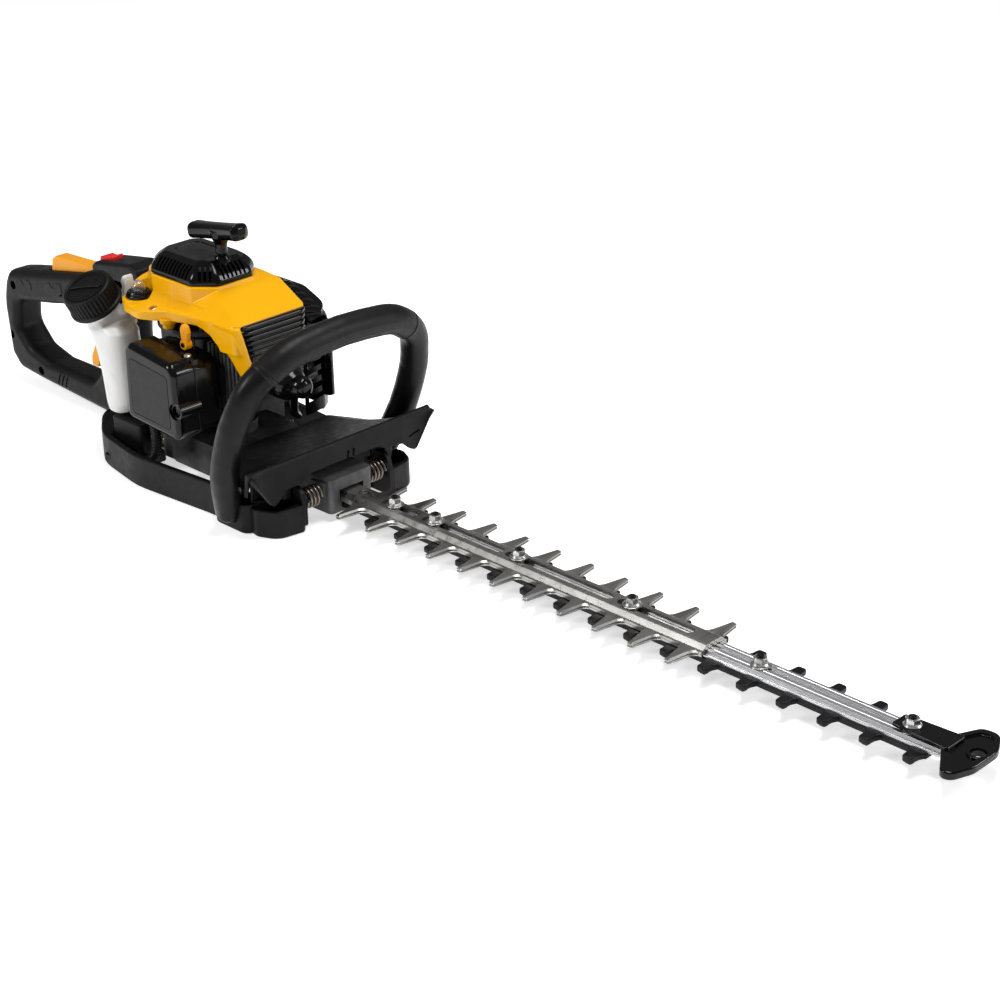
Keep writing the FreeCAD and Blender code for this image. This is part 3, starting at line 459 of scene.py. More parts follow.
def shades(colour, spread):
    """A darker and a lighter shade either side of a colour."""
    return [tuple(c * (1 - spread) for c in colour), tuple(min(1, c * (1 + spread)) for c in colour)]


def gloss_plastic(name, colour, spread, low, high):
    paint = Paint(name, (low + high) / 2, Specular_IOR_Level=0.24)
    dark, light = shades(colour, spread)
    paint.colour(paint.noise(26, 4), [(0.3, dark), (0.7, light)])
    paint.roughness(paint.noise(210, 5), low, high)
    return paint.bump(paint.noise(160, 2), 0.02)


def matte_plastic(name, colour, spread, roughness, grain, depth):
    paint = Paint(name, roughness, Specular_IOR_Level=0.16)
    dark, light = shades(colour, spread)
    paint.colour(paint.noise(40, 5), [(0.3, dark), (0.7, light)])
    paint.roughness(paint.noise(150, 4), roughness - 0.07, roughness + 0.08)
    return paint.bump(paint.noise(grain, 3), depth)


def plain_metal(name, colour, spread, low, high, grain, depth, stretch=(1, 1, 1)):
    paint = Paint(name, (low + high) / 2, 1.0)
    dark, light = shades(colour, spread)
    paint.colour(paint.noise(60, 5, stretch), [(0.25, dark), (0.75, light)])
    paint.roughness(paint.noise(grain / 3, 4, stretch), low, high)
    return paint.bump(paint.noise(grain, 3, stretch), depth)


def steel_blade():
    """Ground steel: fine scratches across the teeth, faint oil stain."""
    paint = Paint("steel_blade", 0.3, 1.0)
    paint.colour(paint.noise(40, 4), [(0.25, (0.30, 0.29, 0.275)), (0.55, (0.40, 0.39, 0.375)),
                                      (0.8, (0.47, 0.46, 0.45))])
    paint.roughness(paint.noise(200, 4, (1, 8, 1)), 0.24, 0.36)
    return paint.bump(paint.noise(1500, 2, (1, 14, 1)), 0.0015)


def aluminium():
    paint = Paint("aluminium", 0.36, 1.0)
    paint.colour(paint.noise(240, 3, (40, 1, 1)), [(0.25, (0.42, 0.42, 0.43)), (0.75, (0.60, 0.60, 0.61))])
    paint.roughness(paint.noise(400, 3, (60, 1, 1)), 0.3, 0.44)
    return paint.bump(paint.noise(1200, 2, (90, 1, 1)), 0.003)


def cast_alloy():
    paint = Paint("cast_alloy", 0.6, 0.6, Specular_IOR_Level=0.3)
    # The gear case halves are a grey casting; this colour is set well below that grey as painted shade, for
    # the shade they sit in below the engine.
    paint.colour(paint.noise(90, 5), [(0.3, (0.07, 0.07, 0.073)), (0.7, (0.13, 0.13, 0.134))])
    paint.roughness(paint.noise(300, 4), 0.5, 0.68)
    return paint.bump(paint.noise(700, 3), 0.03)


def tank_plastic():
    """Milky blow-moulded plastic that lets a little light in."""
    paint = Paint("tank_plastic", 0.33, Subsurface_Weight=0.55, Subsurface_Scale=0.012, IOR=1.5)
    paint.shader.inputs["Subsurface Radius"].default_value = (1.0, 0.92, 0.8)
    paint.colour(paint.noise(30, 3), [(0.3, (0.62, 0.62, 0.61)), (0.7, (0.70, 0.70, 0.69))])
    paint.roughness(paint.noise(120, 3), 0.26, 0.4)
    return paint.bump(paint.noise(110, 2), 0.12).bump(paint.noise(1200, 3), 0.015)


def clear_bulb():
    paint = Paint("clear_bulb", 0.05, Transmission_Weight=0.96, IOR=1.43)
    paint.colour(paint.noise(80, 2), [(0.3, (0.93, 0.93, 0.92)), (0.7, (0.98, 0.98, 0.97))])
    return paint.roughness(paint.noise(300, 3), 0.03, 0.1)


def rope_paint():
    paint = Paint("rope", 0.8, Sheen_Weight=0.3)
    paint.colour(paint.wave(160, "DIAGONAL", 1.5), [(0.3, (0.02, 0.02, 0.022)), (0.8, (0.16, 0.16, 0.17))])
    return paint.bump(paint.wave(160, "DIAGONAL", 1.5), 0.3)


def filter_foam():
    paint = Paint("filter_foam", 0.9, Sheen_Weight=0.2)
    paint.colour(paint.cells(900), [(0.1, (0.05, 0.05, 0.055)), (0.8, (0.25, 0.25, 0.26))])
    return paint.bump(paint.cells(900), 0.4)


def muffler_steel():
    paint = Paint("muffler_steel", 0.42, 1.0)
    paint.colour(paint.noise(35, 5), [(0.25, (0.36, 0.31, 0.26)), (0.5, (0.50, 0.48, 0.46)),
                                      (0.75, (0.42, 0.44, 0.5))])
    paint.roughness(paint.noise(180, 4), 0.3, 0.55)
    return paint.bump(paint.noise(600, 3), 0.03)


def handle_foam():
    """Soft black sleeve with a fine skin."""
    paint = Paint("handle_foam", 0.5, Specular_IOR_Level=0.2)
    paint.colour(paint.noise(35, 5), [(0.3, (0.003, 0.003, 0.003)), (0.7, (0.006, 0.0058, 0.0056))])
    paint.roughness(paint.noise(160, 4), 0.40, 0.50)
    return paint.bump(paint.noise(900, 3), 0.01)


MADE = (
    steel_blade(), aluminium(), cast_alloy(), tank_plastic(), clear_bulb(), rope_paint(), filter_foam(),
    muffler_steel(), handle_foam(),
    plain_metal("black_steel", (0.02, 0.02, 0.021), 0.3, 0.34, 0.46, 700, 0.01),
    plain_metal("zinc_steel", (0.50, 0.50, 0.49), 0.12, 0.24, 0.38, 900, 0.004),
    plain_metal("gear_steel", (0.36, 0.36, 0.37), 0.12, 0.26, 0.4, 900, 0.01),
    plain_metal("spring_steel", (0.20, 0.17, 0.14), 0.25, 0.24, 0.38, 1200, 0.005),
    gloss_plastic("black_gloss_plastic", (0.002, 0.002, 0.0022), 0.2, 0.10, 0.17),
    matte_plastic("black_matte_plastic", (0.004, 0.004, 0.0042), 0.2, 0.46, 1300, 0.02),
    matte_plastic("clutch_lining", (0.09, 0.07, 0.05), 0.3, 0.75, 900, 0.2),
    gloss_plastic("yellow_gloss_plastic", (0.80, 0.385, 0.0), 0.03, 0.16, 0.24),
    gloss_plastic("yellow_lever_plastic", (0.78, 0.31, 0.003), 0.05, 0.28, 0.36),
    gloss_plastic("red_plastic", (0.62, 0.012, 0.010), 0.08, 0.2, 0.28),
    matte_plastic("handle_tube_black", (0.004, 0.004, 0.0042), 0.2, 0.36, 1300, 0.008),
    matte_plastic("rubber", (0.007, 0.007, 0.007), 0.25, 0.42, 1300, 0.02),
    matte_plastic("plug_ceramic", (0.75, 0.74, 0.7), 0.05, 0.2, 600, 0.01),
    plain_metal("screw_black", (0.03, 0.03, 0.032), 0.3, 0.3, 0.45, 1200, 0.01),
    matte_plastic("label_grey", (0.010, 0.010, 0.011), 0.12, 0.3, 2200, 0.005),
)
MATERIALS = {paint.name: paint.material for paint in MADE}


CRISP_NODES = ("av_springs", "fuel_lines", "starter_rope", "recoil_spring", "bearings", "flywheel",
               "drive_gear")
CAST_NODES = ("gearcase_lower", "gearcase_upper")


def paint_cad():
    """Every CAD node takes the material of its slot, and the two cast halves a dark cast grey that is
    partly painted shade.
    """
    for part in frame["record"]["subparts"]:
        made = frame["nodes"][part["node"]]
        made.data.materials.clear()
        cast = part["node"] in CAST_NODES
        # The cast halves take cast_alloy, whose grey is darkened as painted shade.
        made.data.materials.append(MATERIALS["cast_alloy" if cast else part["material_slot"]])
        if part["node"] in CRISP_NODES:
            continue
        edge = made.modifiers.new("edge", "BEVEL")
        edge.width, edge.segments, edge.limit_method = (1.6 if cast else 0.5) * MM, 2, "ANGLE"
        edge.angle_limit = math.radians(50)
        edge.use_clamp_overlap = True


# ---- cutter -------------------------------------------------------------------------

def tooth_outline(x, side):
    root, foot, tip = side * (FLANK_HALF - 0.6), side * 17.0, side * TOOTH_REACH
    return [(x - 12, root), (x - 6.5, foot), (x - 2.3, tip), (x + 2.3, tip), (x + 5.5, foot),
            (x + 12, root)]


def ground_tooth(x, side, top):
    """One tooth, square below and ground to a long bevel on both edges above."""
    flat = rounded(tooth_outline(x, side), (0, 9, 1.2, 1.2, 9, 0))
    levels = [(top - SHEET, 0.0), (top - 1.15, 0.0), (top, 1.5)]
    return loft([[(p.x, p.y, level) for p in inset(flat, step)] for level, step in levels])


def blade(name, top):
    """Raised spine with sloping flanks, bent from one sheet, and teeth on both sides."""
    crown = top + SPINE_RISE
    upper = [(-FLANK_HALF - 1.5, top), (-FLANK_HALF, top), (-SPINE_HALF, crown), (SPINE_HALF, crown),
             (FLANK_HALF, top), (FLANK_HALF + 1.5, top)]
    profile = upper + [(y, z - SHEET) for y, z in reversed(upper)]
    body = slab("x", profile, BLADE_START, BLADE_END, (0, 1.2, 2.2, 2.2, 1.2, 0, 0, 0.6, 0.6, 0.6, 0.6, 0),
                0)
    level = (crown - SHEET, crown)
    yoke = [box((GEAR_X, BLADE_START + 1), (-SPINE_HALF, SPINE_HALF), level, 0.3),
            box((GEAR_X - 20.1, GEAR_X + 20.1), (-27.2, 27.2), level, 0.3)]
    teeth = [ground_tooth(FIRST_TOOTH + PITCH * i, side, top) for side in (-1, 1) for i in range(TEETH)]
    made = join([body] + teeth + yoke)
    holes = [slab("z", [(a, -4.2), (b, -4.2), (b, 4.2), (a, 4.2)], level[0] - 2, level[1] + 2, 4.19, 0)
             for a, b in ((-60, -36.5), (-31.5, 9), (15.5, 105), (108.5, 219), (224.5, 297))]
    holes += [box((-70, -57), span, (10, 40)) for span in ((-20, -FLANK_HALF - 0.3),
                                                           (FLANK_HALF + 0.3, 20))]
    holes.append(box((GEAR_X - 13.1, GEAR_X + 13.1), (-20.2, 20.2), (level[0] - 2, level[1] + 2)))
    piece(name, cut(made, holes), "steel_blade", name, [name], sharp=math.radians(24))


def comb():
    """Blunt forged guard under the blades, with a shoulder at the root of each tooth."""
    parts = [box((-70, 506), (-FLANK_HALF, FLANK_HALF), (11, 16), 0.8)]
    for side, first, count in ((-1, -26.0, 16), (1, -43.5, 15)):
        for i in range(count):
            x = first + PITCH * i
            root, tip = side * (FLANK_HALF - 2), side * 24.8
            finger = [(x - 7.5, root), (x - 4.6, side * 17), (x - 4, tip), (x + 4, tip),
                      (x + 4.6, side * 17), (x + 7.5, root)]
            parts.append(slab("z", finger, 11.3, 16, (0, 4, 2.6, 2.6, 4, 0), 1.1))
            parts.append(slab("z", [(x - 3, side * 17.5), (x - 2.6, side * 23), (x + 2.6, side * 23),
                                    (x + 3, side * 17.5)],
                              9.6, 12.2, 1.5, 0.9))
    piece("comb_guard_looks", join(parts), "black_steel", nodes=["comb_guard"])


def bar():
    """Extruded bar with two rails, a groove between them and fine steps down its sides."""
    side = [(11.25, 16), (11.25, 17.6), (10.2, 17.6), (10.2, 18.3), (9.0, 18.3), (8.2, BAR_TOP),
            (6.1, BAR_TOP),
            (5.7, BAR_TOP - 0.5), (4.5, BAR_TOP - 0.5), (4.1, BAR_TOP), (1.7, BAR_TOP), (1.4,
                                                                                         BAR_TOP - 1.1)]
    profile = side + [(-y, z) for y, z in reversed(side)]
    made = slab("x", profile, -176, 515, 0.18, 0)
    cut(made, [rod(3.1, (x, 0, 10), (x, 0, 25), 24) for x in BOLTS])
    piece("guide_bar_looks", made, "aluminium", nodes=["guide_bar"])


def fasteners():
    heads, nuts, washers = [], [], []
    for x in BOLTS:
        on_blade = x < BLADE_END
        low = 26.6 if on_blade else BAR_TOP + 1.4
        if x == BOLTS[-1]:
            low += 2.6
        dome = [(0.01, 8.0), (2.6, 8.1), (4.3, 8.9), (5.0, 10.2), (5.0, 11.0), (3.0, 11.0),
                (3.0, low + 6.2)]
        heads.append(lathe(dome + [(2.5, low + 6.9), (0.01, low + 6.9)], (x, 0, 0), Z, 32))
        corners = [(x + 5.4 * math.cos(math.radians(60 * k + 15)),
                    5.4 * math.sin(math.radians(60 * k + 15)))
                   for k in range(6)]
        hexagon = slab("z", corners, low + 0.6, low + 5.6, 0.5, 0.4)
        chamfer = lathe([(5.6, low), (5.6, low + 4.4), (4.5, low + 5.7), (0.01, low + 5.7), (0.01, low)],
                        (x, 0, 0), Z)
        flange = lathe([(0.01, low), (6.4, low), (6.5, low + 0.5), (5.4, low + 1.6), (0.01, low + 1.7)],
                       (x, 0, 0), Z)
        nuts.append(join([common(hexagon, chamfer), flange]))
        seat = 25.3 if on_blade else BAR_TOP
        washers.append(lathe([(3.1, seat), (7.3, seat), (7.5, seat + 0.2), (7.5, seat + 1.1),
                              (7.2, seat + 1.3),
                              (3.1, seat + 1.3), (3.1, seat)], (x, 0, 0), Z, 40))
        if on_blade:
            washers.append(lathe([(3.1, BAR_TOP), (4.4, BAR_TOP), (4.4, seat), (3.1, seat),
                                  (3.1, BAR_TOP)], (x, 0, 0), Z))
    piece("bolts", heap(heads), "black_steel", nodes=["blade_bolts"])
    piece("nuts", heap(nuts), "zinc_steel", nodes=["blade_nuts"])
    piece("washers", heap(washers), "zinc_steel", nodes=["blade_spacers"])


def tip():
    """Moulded nose with a raised rim and the hanging hole."""
    outline = [(516, -11), (530, -33), (538, -31), (544.2, -14), (544.2, 14), (534, 33), (520, 31),
               (512, 14)]
    plate = slab("z", outline, 16.5, 22.8, (2, 6, 10, 18, 18, 10, 8, 3), 1.5)
    dish = slab("z", [(521, -9), (532, -27), (539.6, -14), (539.6, 14), (532, 27), (523, 25), (517, 12)],
                21.3, 24, (1.5, 6, 12, 12, 8, 6, 2), 0.8, 0)
    boss = rod(8, HANGING_HOLE + Z * 16.7, HANGING_HOLE + Z * 22.8, 40, 0.9)
    arm = slab("z", [(474, -7), (520, -10), (520, 12), (474, 9)], BAR_TOP + 1.4, BAR_TOP + 4, 2, 0.8)
    collar = rod(9, (BOLTS[-1], 0, BAR_TOP + 1.2), (BOLTS[-1], 0, BAR_TOP + 4), 32, 0.6)
    made = join([cut(plate, [dish]), boss, arm, collar])
    funnel = lathe([(0.01, 10), (HANGING_RADIUS, 10), (HANGING_RADIUS, 21.9), (6.3, 24), (0.01, 24)],
                   HANGING_HOLE, Z)
    room = box((470, 515.3), (-12, 12), (10, BAR_TOP))
    cut(made, [funnel, room, rod(3.1, (BOLTS[-1], 0, 15), (BOLTS[-1], 0, 40), 24)])
    piece("tip_guard_looks", made, "black_gloss_plastic", nodes=["tip_guard"])


# ---- engine shrouds -----------------------------------------------------------------

COVER_PLAN = [(-158, -41), (-158, 34), (-200, 41), (-262, 48), (-306, 30), (-306, -30), (-292, -56),
              (-266, -60),
              (-240, -48), (-200, -44)]
COVER_PROFILE = [(-308, 126), (-308, 148), (-300, 163), (-286, 172), (-212, 172), (-158, 154), (-150, 154),
                 (-150, 126)]
COVER_SIDES = [(-72, 90), (-72, 145), (-58, 147.5), (-44, 151), (-22, 170), (-12, 174), (30, 176),
               (44, 164), (56, 150),
               (56, 90)]
COVER_SIDE_BENDS = (0, 4, 12, 14, 18, 14, 14, 14, 0, 0)
COVER_SHEET = 2.6


def cover_sides(drop):
    """The cover's front view run along its length, lowered by drop."""
    return slab("x", [(y, z - drop) for y, z in COVER_SIDES], -320, -140, COVER_SIDE_BENDS, 0)


def cover_mass(step):
    """The cover's outer form, drawn in by step: its plan, its side view and its front view together."""
    plan_radius = (6, 6, 20, 24, 14, 12, 10, 12, 16, 20)
    plan = slab("z", shrink(COVER_PLAN, (-240, -8), step), 100, 182,
                [max(1, r - step) for r in plan_radius], 0)
    profile = slab("y", [(x, z - step) for x, z in COVER_PROFILE], -80, 60, (0, 8, 12, 14, 34, 8, 0, 0), 0)
    return common(common(plan, profile), cover_sides(step * 1.2))


def engine_cover():
    """Yellow cowl: a saddle over the engine with an arched side and a leg down the front corner."""
    shell = cover_mass(0)
    leg = loft([[(-184, -43.6, 152), (-156, -42.6, 152), (-156, -37, 152), (-184, -37, 152)],
                [(-182, -40.6, 140), (-155.2, -39, 140), (-155.2, -34, 140), (-182, -36, 140)],
                [(-178, -37.5, 126), (-154.5, -35.0, 126), (-154.5, -30.5, 126), (-178, -33, 126)],
                [(-174, -34.5, 112), (-154, -31, 112), (-154, -26.5, 112), (-174, -30.5, 112)],
                [(-170, -32, 92), (-153.8, -26, 92), (-153.8, -22, 92), (-170, -28, 92)]])
    hollow = cover_mass(COVER_SHEET)
    front = box((-175, -150), (-37, 31), (90, 147.5))
    low = box((-330, -172), (-90, 70), (90, 128))
    front_low = box((-173, -150), (-60, 60), (90, 128))
    cut(hollow, [rod(15.8, PRIMER - Z * COVER_SHEET, PRIMER + Z * 40, 40)])
    cut(shell, [hollow, front, low, front_low])
    plateau = rod(14.5, PRIMER - Z * 6, PRIMER - Z * 0.1, 40)
    bump = rod(4.5, (-227, 22, 160), (-227, 22, 174.5), 24)
    plinth = [(CRANK_X + x, y) for x, y in ((46, -22), (46, 22), (28, 36), (-28, 36), (-46, 22),
                                            (-46, -22), (-28, -36),
                                            (28, -36))]
    stand = slab("z", plinth, 154, 172, 6, 1.2)
    cut(stand, [slab("z", shrink(plinth, (CRANK_X, 0), 3), 150, 176, 5, 0),
                cut(slab("z", plinth, 150, 180, 0, 0), [
        slab("y", [(-320, 100), (-320, 176), (-212, 176), (-150, 172), (-150, 100)], -80, 60, 0, 0)])])
    shell = join([shell, leg, plateau, bump, stand])
    over_primer = rod(13.2, PRIMER, PRIMER + Z * 40, 40)
    arch = slab("y", [(-330, 90), (-330, 141), (-272, 140), (-252, 140), (-224, 143), (-204, 145),
                      (-190, 140), (-181, 132),
                      (-173, 119), (-167, 104), (-166, 88)], -90, -20, (0, 0, 10, 20, 20, 20, 20, 20, 20,
                                                                        0, 0), 0)
    starter_room = rod(27, (CRANK_X, 0, 160), (CRANK_X, 0, 190))
    primer_room = rod(8.6, PRIMER - Z * 30, PRIMER + Z * 30)
    hole = rod(3.4, (-258, -49, 146.6), (-258, -49, 160), 24)
    ridge = slab("z", [(-250, -44), (-206, -42), (-202, -36), (-246, -35)], 130, 190, (4, 2, 2, 4), 0)
    cut(ridge, [cover_sides(1.3)])
    cut(shell, [over_primer, arch, starter_room, primer_room, hole, ridge])
    soften(shell, 0.62, 7, 0.45)
    nub = lathe([(0.01, 0), (4.4, 0.2), (5.2, 1.2), (5.2, 4.5), (7.4, 5.4), (7.6, 9.5), (0.01, 9.5)],
                (-243, -45, 133.5), Z, 32)
    piece("engine_cover_looks", shell, "yellow_gloss_plastic", nodes=["engine_cover"],
          sharp=math.radians(70))
    piece("cover_screw_boss", nub, "yellow_gloss_plastic")


def grille():
    """Glossy ribs that wrap round the near corner below the cover's front edge."""
    ribs = []
    for k in range(8):
        z = 152.8 - 5.0 * k
        near, lean = -37.5 + 1.55 * k, 0.3 * k
        plan = [(-160 - lean, near), (-155 - lean, near + 3.5), (-154.2 - lean, 28), (-158 - lean, 34),
                (-168, 34),
                (-168, near)]
        ribs.append(slab("z", plan, z - 4.2, z, (7, 10, 8, 5, 0, 0), 1.6))
    back = slab("z", [(-160, -27), (-157, -24), (-156.6, 27), (-161, 31), (-167, 31), (-167, -27)], 113,
                152, (3, 4, 4, 3, 0, 0), 0)
    piece("front_grille_looks", join(ribs + [back]), "black_gloss_plastic", nodes=["front_grille"])


def starter():
    """Louvred eight-sided cowl with smooth corner posts and a plain sunk panel on top."""
    def plan(half_x, half_y, corner):
        quarter = [(half_x, half_y - corner), (half_x - corner, half_y)]
        half = quarter + [(-x, y) for x, y in reversed(quarter)]
        return [(CRANK_X + x, y) for x, y in half + [(-x, -y) for x, y in half]]

    low_plan, top_plan = plan(44, 34, 16), plan(29, 19, 6)
    middle = (CRANK_X, 0)

    def cone(step, base, top):
        """The cowl's bulging form between two heights, drawn in by step and rounded over at the top."""
        rings = []
        low = rounded(shrink(low_plan, middle, step), 7)
        high = rounded(shrink(top_plan, middle, step), 7)
        for share in (0, 0.15, 0.3, 0.45, 0.6, 0.72, 0.82, 0.9, 0.96, 1):
            ring = [a.lerp(b, share ** 2.1 * 0.92) for a, b in zip(low, high)]
            rings.append([(p.x, p.y, base + (top - base) * share) for p in ring])
        return loft(rings)

    shell = cone(0, STARTER_BASE + 1.5, STARTER_TOP)
    skirt = slab("z", low_plan, STARTER_BASE, STARTER_BASE + 3.6, 7, 1.4)
    shell = join([shell, skirt])
    slots = []
    floor, roof = STARTER_BASE + 4.4, STARTER_TOP - 3.4
    corners = [Vector(p) for p in plan(43, 33, 15.5)]
    for a, b in zip(corners, corners[1:] + corners[:1]):
        run = b - a
        count = int((run.length - 7) / 4.4)
        turn = Matrix.Rotation(math.atan2(run.y, run.x), 4, "Z")
        for k in range(count):
            slot = box((-1.15, 1.15), (-8, 8), (floor, roof))
            at = (a + b) / 2 + run.normalized() * (k - (count - 1) / 2) * 4.4
            slot.data.transform(Matrix.Translation(Vector((at.x, at.y, 0)) * MM) @ turn)
            slots.append(slot)
    room = cone(2.4, STARTER_BASE - 1, STARTER_TOP - 2.2)
    core = slab("z", plan(30, 20, 9), STARTER_BASE + 3, STARTER_TOP - 2, 5, 0)
    cut(room, [core])
    cut(shell, [room] + slots)
    panel = slab("z", plan(22, 13.5, 3.5), STARTER_TOP - 0.9, STARTER_TOP + 2, 3, 0.5, 0)
    cut(shell, [panel])
    snout = lathe([(0.01, 182), (7.5, 182), (7.5, 189), (6.2, 191.4), (5.2, 192), (2.6, 192), (2.6, 184),
                   (0.01, 184)],
                  (PULL_EXIT.x, 0, 0), Z, 36)
    shell = join([shell, snout])
    piece("starter_cowl", shell, "black_gloss_plastic", nodes=["starter_cover"], sharp=math.radians(30))
    sticker = slab("z", plan(21, 12.5, 3.2), STARTER_TOP - 1.1, STARTER_TOP - 0.5, 2.6, 0.2)
    piece("starter_panel", sticker, "label_grey")


def pull_handle():
    """Smooth T-bar, thicker at both ends, that rises towards the front."""
    x0, tilt = PULL_EXIT.x, math.radians(9.3)
    rings = []
    for share in [k / 24 for k in range(25)]:
        along = -35 + 65 * share
        end = abs(2 * share - 1)
        close = math.sqrt(max(0.0, 1 - max(0, (end - 0.9) / 0.1) ** 2))
        half_y = (7.2 + 2.4 * end ** 2) * (0.45 + 0.55 * close)
        half_z = (6.8 + 0.5 * end ** 3) * (0.5 + 0.5 * close)
        ring = []
        for k in range(36):
            t = 2 * math.pi * k / 36
            y = math.copysign(abs(math.cos(t)) ** 0.62, math.cos(t)) * half_y
            z = math.copysign(abs(math.sin(t)) ** 0.72, math.sin(t)) * half_z + 6.6
            ring.append((x0 + along * math.cos(tilt) - z * math.sin(tilt), y,
                         206 + along * math.sin(tilt) + z * math.cos(tilt)))
        rings.append(ring)
    bar = loft(rings)
    stem = lathe([(1.9, 193), (4.6, 193), (5.4, 194), (5.0, 198), (5.4, 202), (8.2, 208), (9, 213),
                  (0.01, 213),
                  (0.01, 197), (1.9, 197), (1.9, 193)], (x0, 0, 0), Z, 36)
    made = join([bar, stem])
    soften(made, 0.45, 6, 0.5)
    piece("pull_handle", made, "black_gloss_plastic", "starter_handle", ["starter_handle"],
          sharp=math.radians(80))


def muffler_guard():
    """Ribbed black shroud on the far side with rounded flutes over its shoulder."""
    plan = [(-255, 50), (-250, 75), (-182, 75), (-173, 62), (-172, 40), (-200, 42), (-250, 46)]
    shell = slab("z", plan, 46, 150, (0, 10, 12, 8, 0, 0, 0), 3)
    slope = slab("y", [(-262, 151), (-213, 151), (-166, 132), (-150, 132), (-150, 180), (-262, 180)], 20,
                 90, 0, 0)
    cut(shell, [slope])
    flutes = []
    for k in range(10):
        x = -253 + 9.0 * k
        top = 150.5 - max(0, (x + 214) * 0.42)
        y_out = 71.2 if 0 < k < 9 else 67
        route = bent([(x, y_out, 60), (x, y_out, top - 2), (x, 44, top + 1.5)], 13)
        flutes.append(sweep(spaced(route, 2.5), 4.7, 18))
    shell = join([shell] + flutes)
    hollow = slab("z", [(-249, 36), (-246, 69), (-179, 69), (-173, 59), (-173, 36)], 40, 145,
                  (0, 7, 9, 6, 0), 0)
    lean = slab("y", [(-262, 146), (-215, 146), (-173, 129), (-160, 129), (-160, 20), (-262, 20)], 20, 90,
                0, 0)
    hollow = common(hollow, lean)
    cut(shell, [hollow])
    louvres = [slab("x", [(44, z), (66, z + 2.5), (66, z + 7.5), (44, z + 5)], -182, -150, 1.2, 0)
               for z in range(58, 130, 10)]
    cut(shell, louvres)
    piece("muffler_shroud", shell, "black_gloss_plastic", nodes=["muffler_cover"])


def plug_boot():
    """Moulded boot with rings, and its lead bending back to the coil."""
    steps = [(6.4, -158), (15.4, -158), (15.8, -157), (15.8, -150), (14.8, -149), (15.6, -145),
             (15.0, -141),
             (13.4, -137.5), (10.8, -134), (9.4, -132), (9.6, -128), (9.0, -124), (7.0, -121.6), (3.6,
                                                                                                  -120.6),
             (0.01, -120.5), (0.01, -136), (4.6, -142), (6.4, -158)]
    boot = lathe([(r, x) for r, x in steps], (0, 0, BORE_Z), X, 44)
    route = bent([(-140, 0, BORE_Z - 4), (-140, 0, BORE_Z - 26), (-146, 10, BORE_Z - 34),
                  (-168, 20, BORE_Z - 34)], 9)
    lead = sweep(spaced(route, 2.0), lambda share: 5.4 - 2.2 * min(1, share * 2.2), 20)
    piece("spark_plug_boot_looks", join([boot, lead]), "black_gloss_plastic", nodes=["spark_plug_boot"])


AIR_BOX = [(-258, 61), (-192, 57), (-186, 63), (-188, 116), (-194, 124), (-248, 130), (-256, 124)]


def air_box():
    """Glossy lid with wide rounded edges, a seam to the base, a name plate left blank and an air horn."""
    lid = slab("y", AIR_BOX, -85, -63.4, (7, 5, 7, 8, 10, 7, 7), 5, 0.3)
    plate_seat = slab("y", [(-249, 68), (-197, 65.5), (-197, 113), (-248, 118)], -86, -84.4, 3.5, -0.4, 0)
    horn_room = rod(7.2, (-190, -90, 84), (-190, -62, 84), 32)
    cut(lid, [plate_seat, horn_room])
    horn = tube_of(7.2, 5.2, (-190, -83.4, 84), (-190, -62, 84))
    inner = slab("y", shrink(AIR_BOX, (-222, 92), 3), -80, -62, 4, 0)
    lid = join([lid, horn])
    cut(lid, [inner, rod(5.2, (-190, -90, 84), (-190, -70, 84), 32)])
    piece("air_box_lid", lid, "black_gloss_plastic", nodes=["air_box_cover"], sharp=math.radians(30))
    plate = slab("y", [(-248.6, 68.6), (-197.6, 66), (-197.6, 112.6), (-247.8, 117.4)], -85.1, -84.2, 3.2,
                 0.25)
    piece("air_box_plate", plate, "label_grey")
    tub = [(-258, 61), (-192, 57), (-186, 63), (-188, 116), (-194, 123), (-240, 125.3), (-256, 123)]
    flange = slab("y", AIR_BOX, -63, -58, (7, 5, 7, 8, 10, 7, 7), 0.6)
    rear = slab("y", tub, -60, -40, (7, 5, 7, 8, 10, 7, 7), 0, 1.2)
    room = slab("y", shrink(tub, (-222, 92), 2.4), -58.2, -39, 3, 0)
    throat = rod(6.5, (-201, -66, BORE_Z), (-201, -50, BORE_Z))
    base = cut(join([flange, rear]), [room, throat, box((-262, -250), (-52, -37), (66, 122))])
    ear = box((-212, -204), (CHOKE_PIVOT.y + 3.7, CHOKE_PIVOT.y + 6.7), (119, CHOKE_PIVOT.z + 4), 0.8, 2)
    pin = rod(2, CHOKE_PIVOT + Vector((0, -4.5, 0)), CHOKE_PIVOT + Vector((0, 4, 0)), 24, 0.4)
    screw = lathe([(0.01, 0), (3.4, 0), (3.4, 1.8), (2.6, 2.6), (0.01, 2.7)], (-199, -60.5, 123.5), Z, 28)
    shelf = box((-206, -190), (-63.5, -56), (118, 123.6), 0.8, 1.5)
    piece("air_box_rear", join([base, ear, pin, shelf]), "black_gloss_plastic", nodes=["air_box_base"])
    piece("air_box_screw", screw, "zinc_steel")


def tube_of(outer, inner, start, end):
    start, end = Vector(start), Vector(end)
    length = (end - start).length
    return lathe([(inner, 0), (outer - 0.4, 0), (outer, 0.4), (outer, length), (inner, length), (inner, 0)],
                 start, end - start, 40)


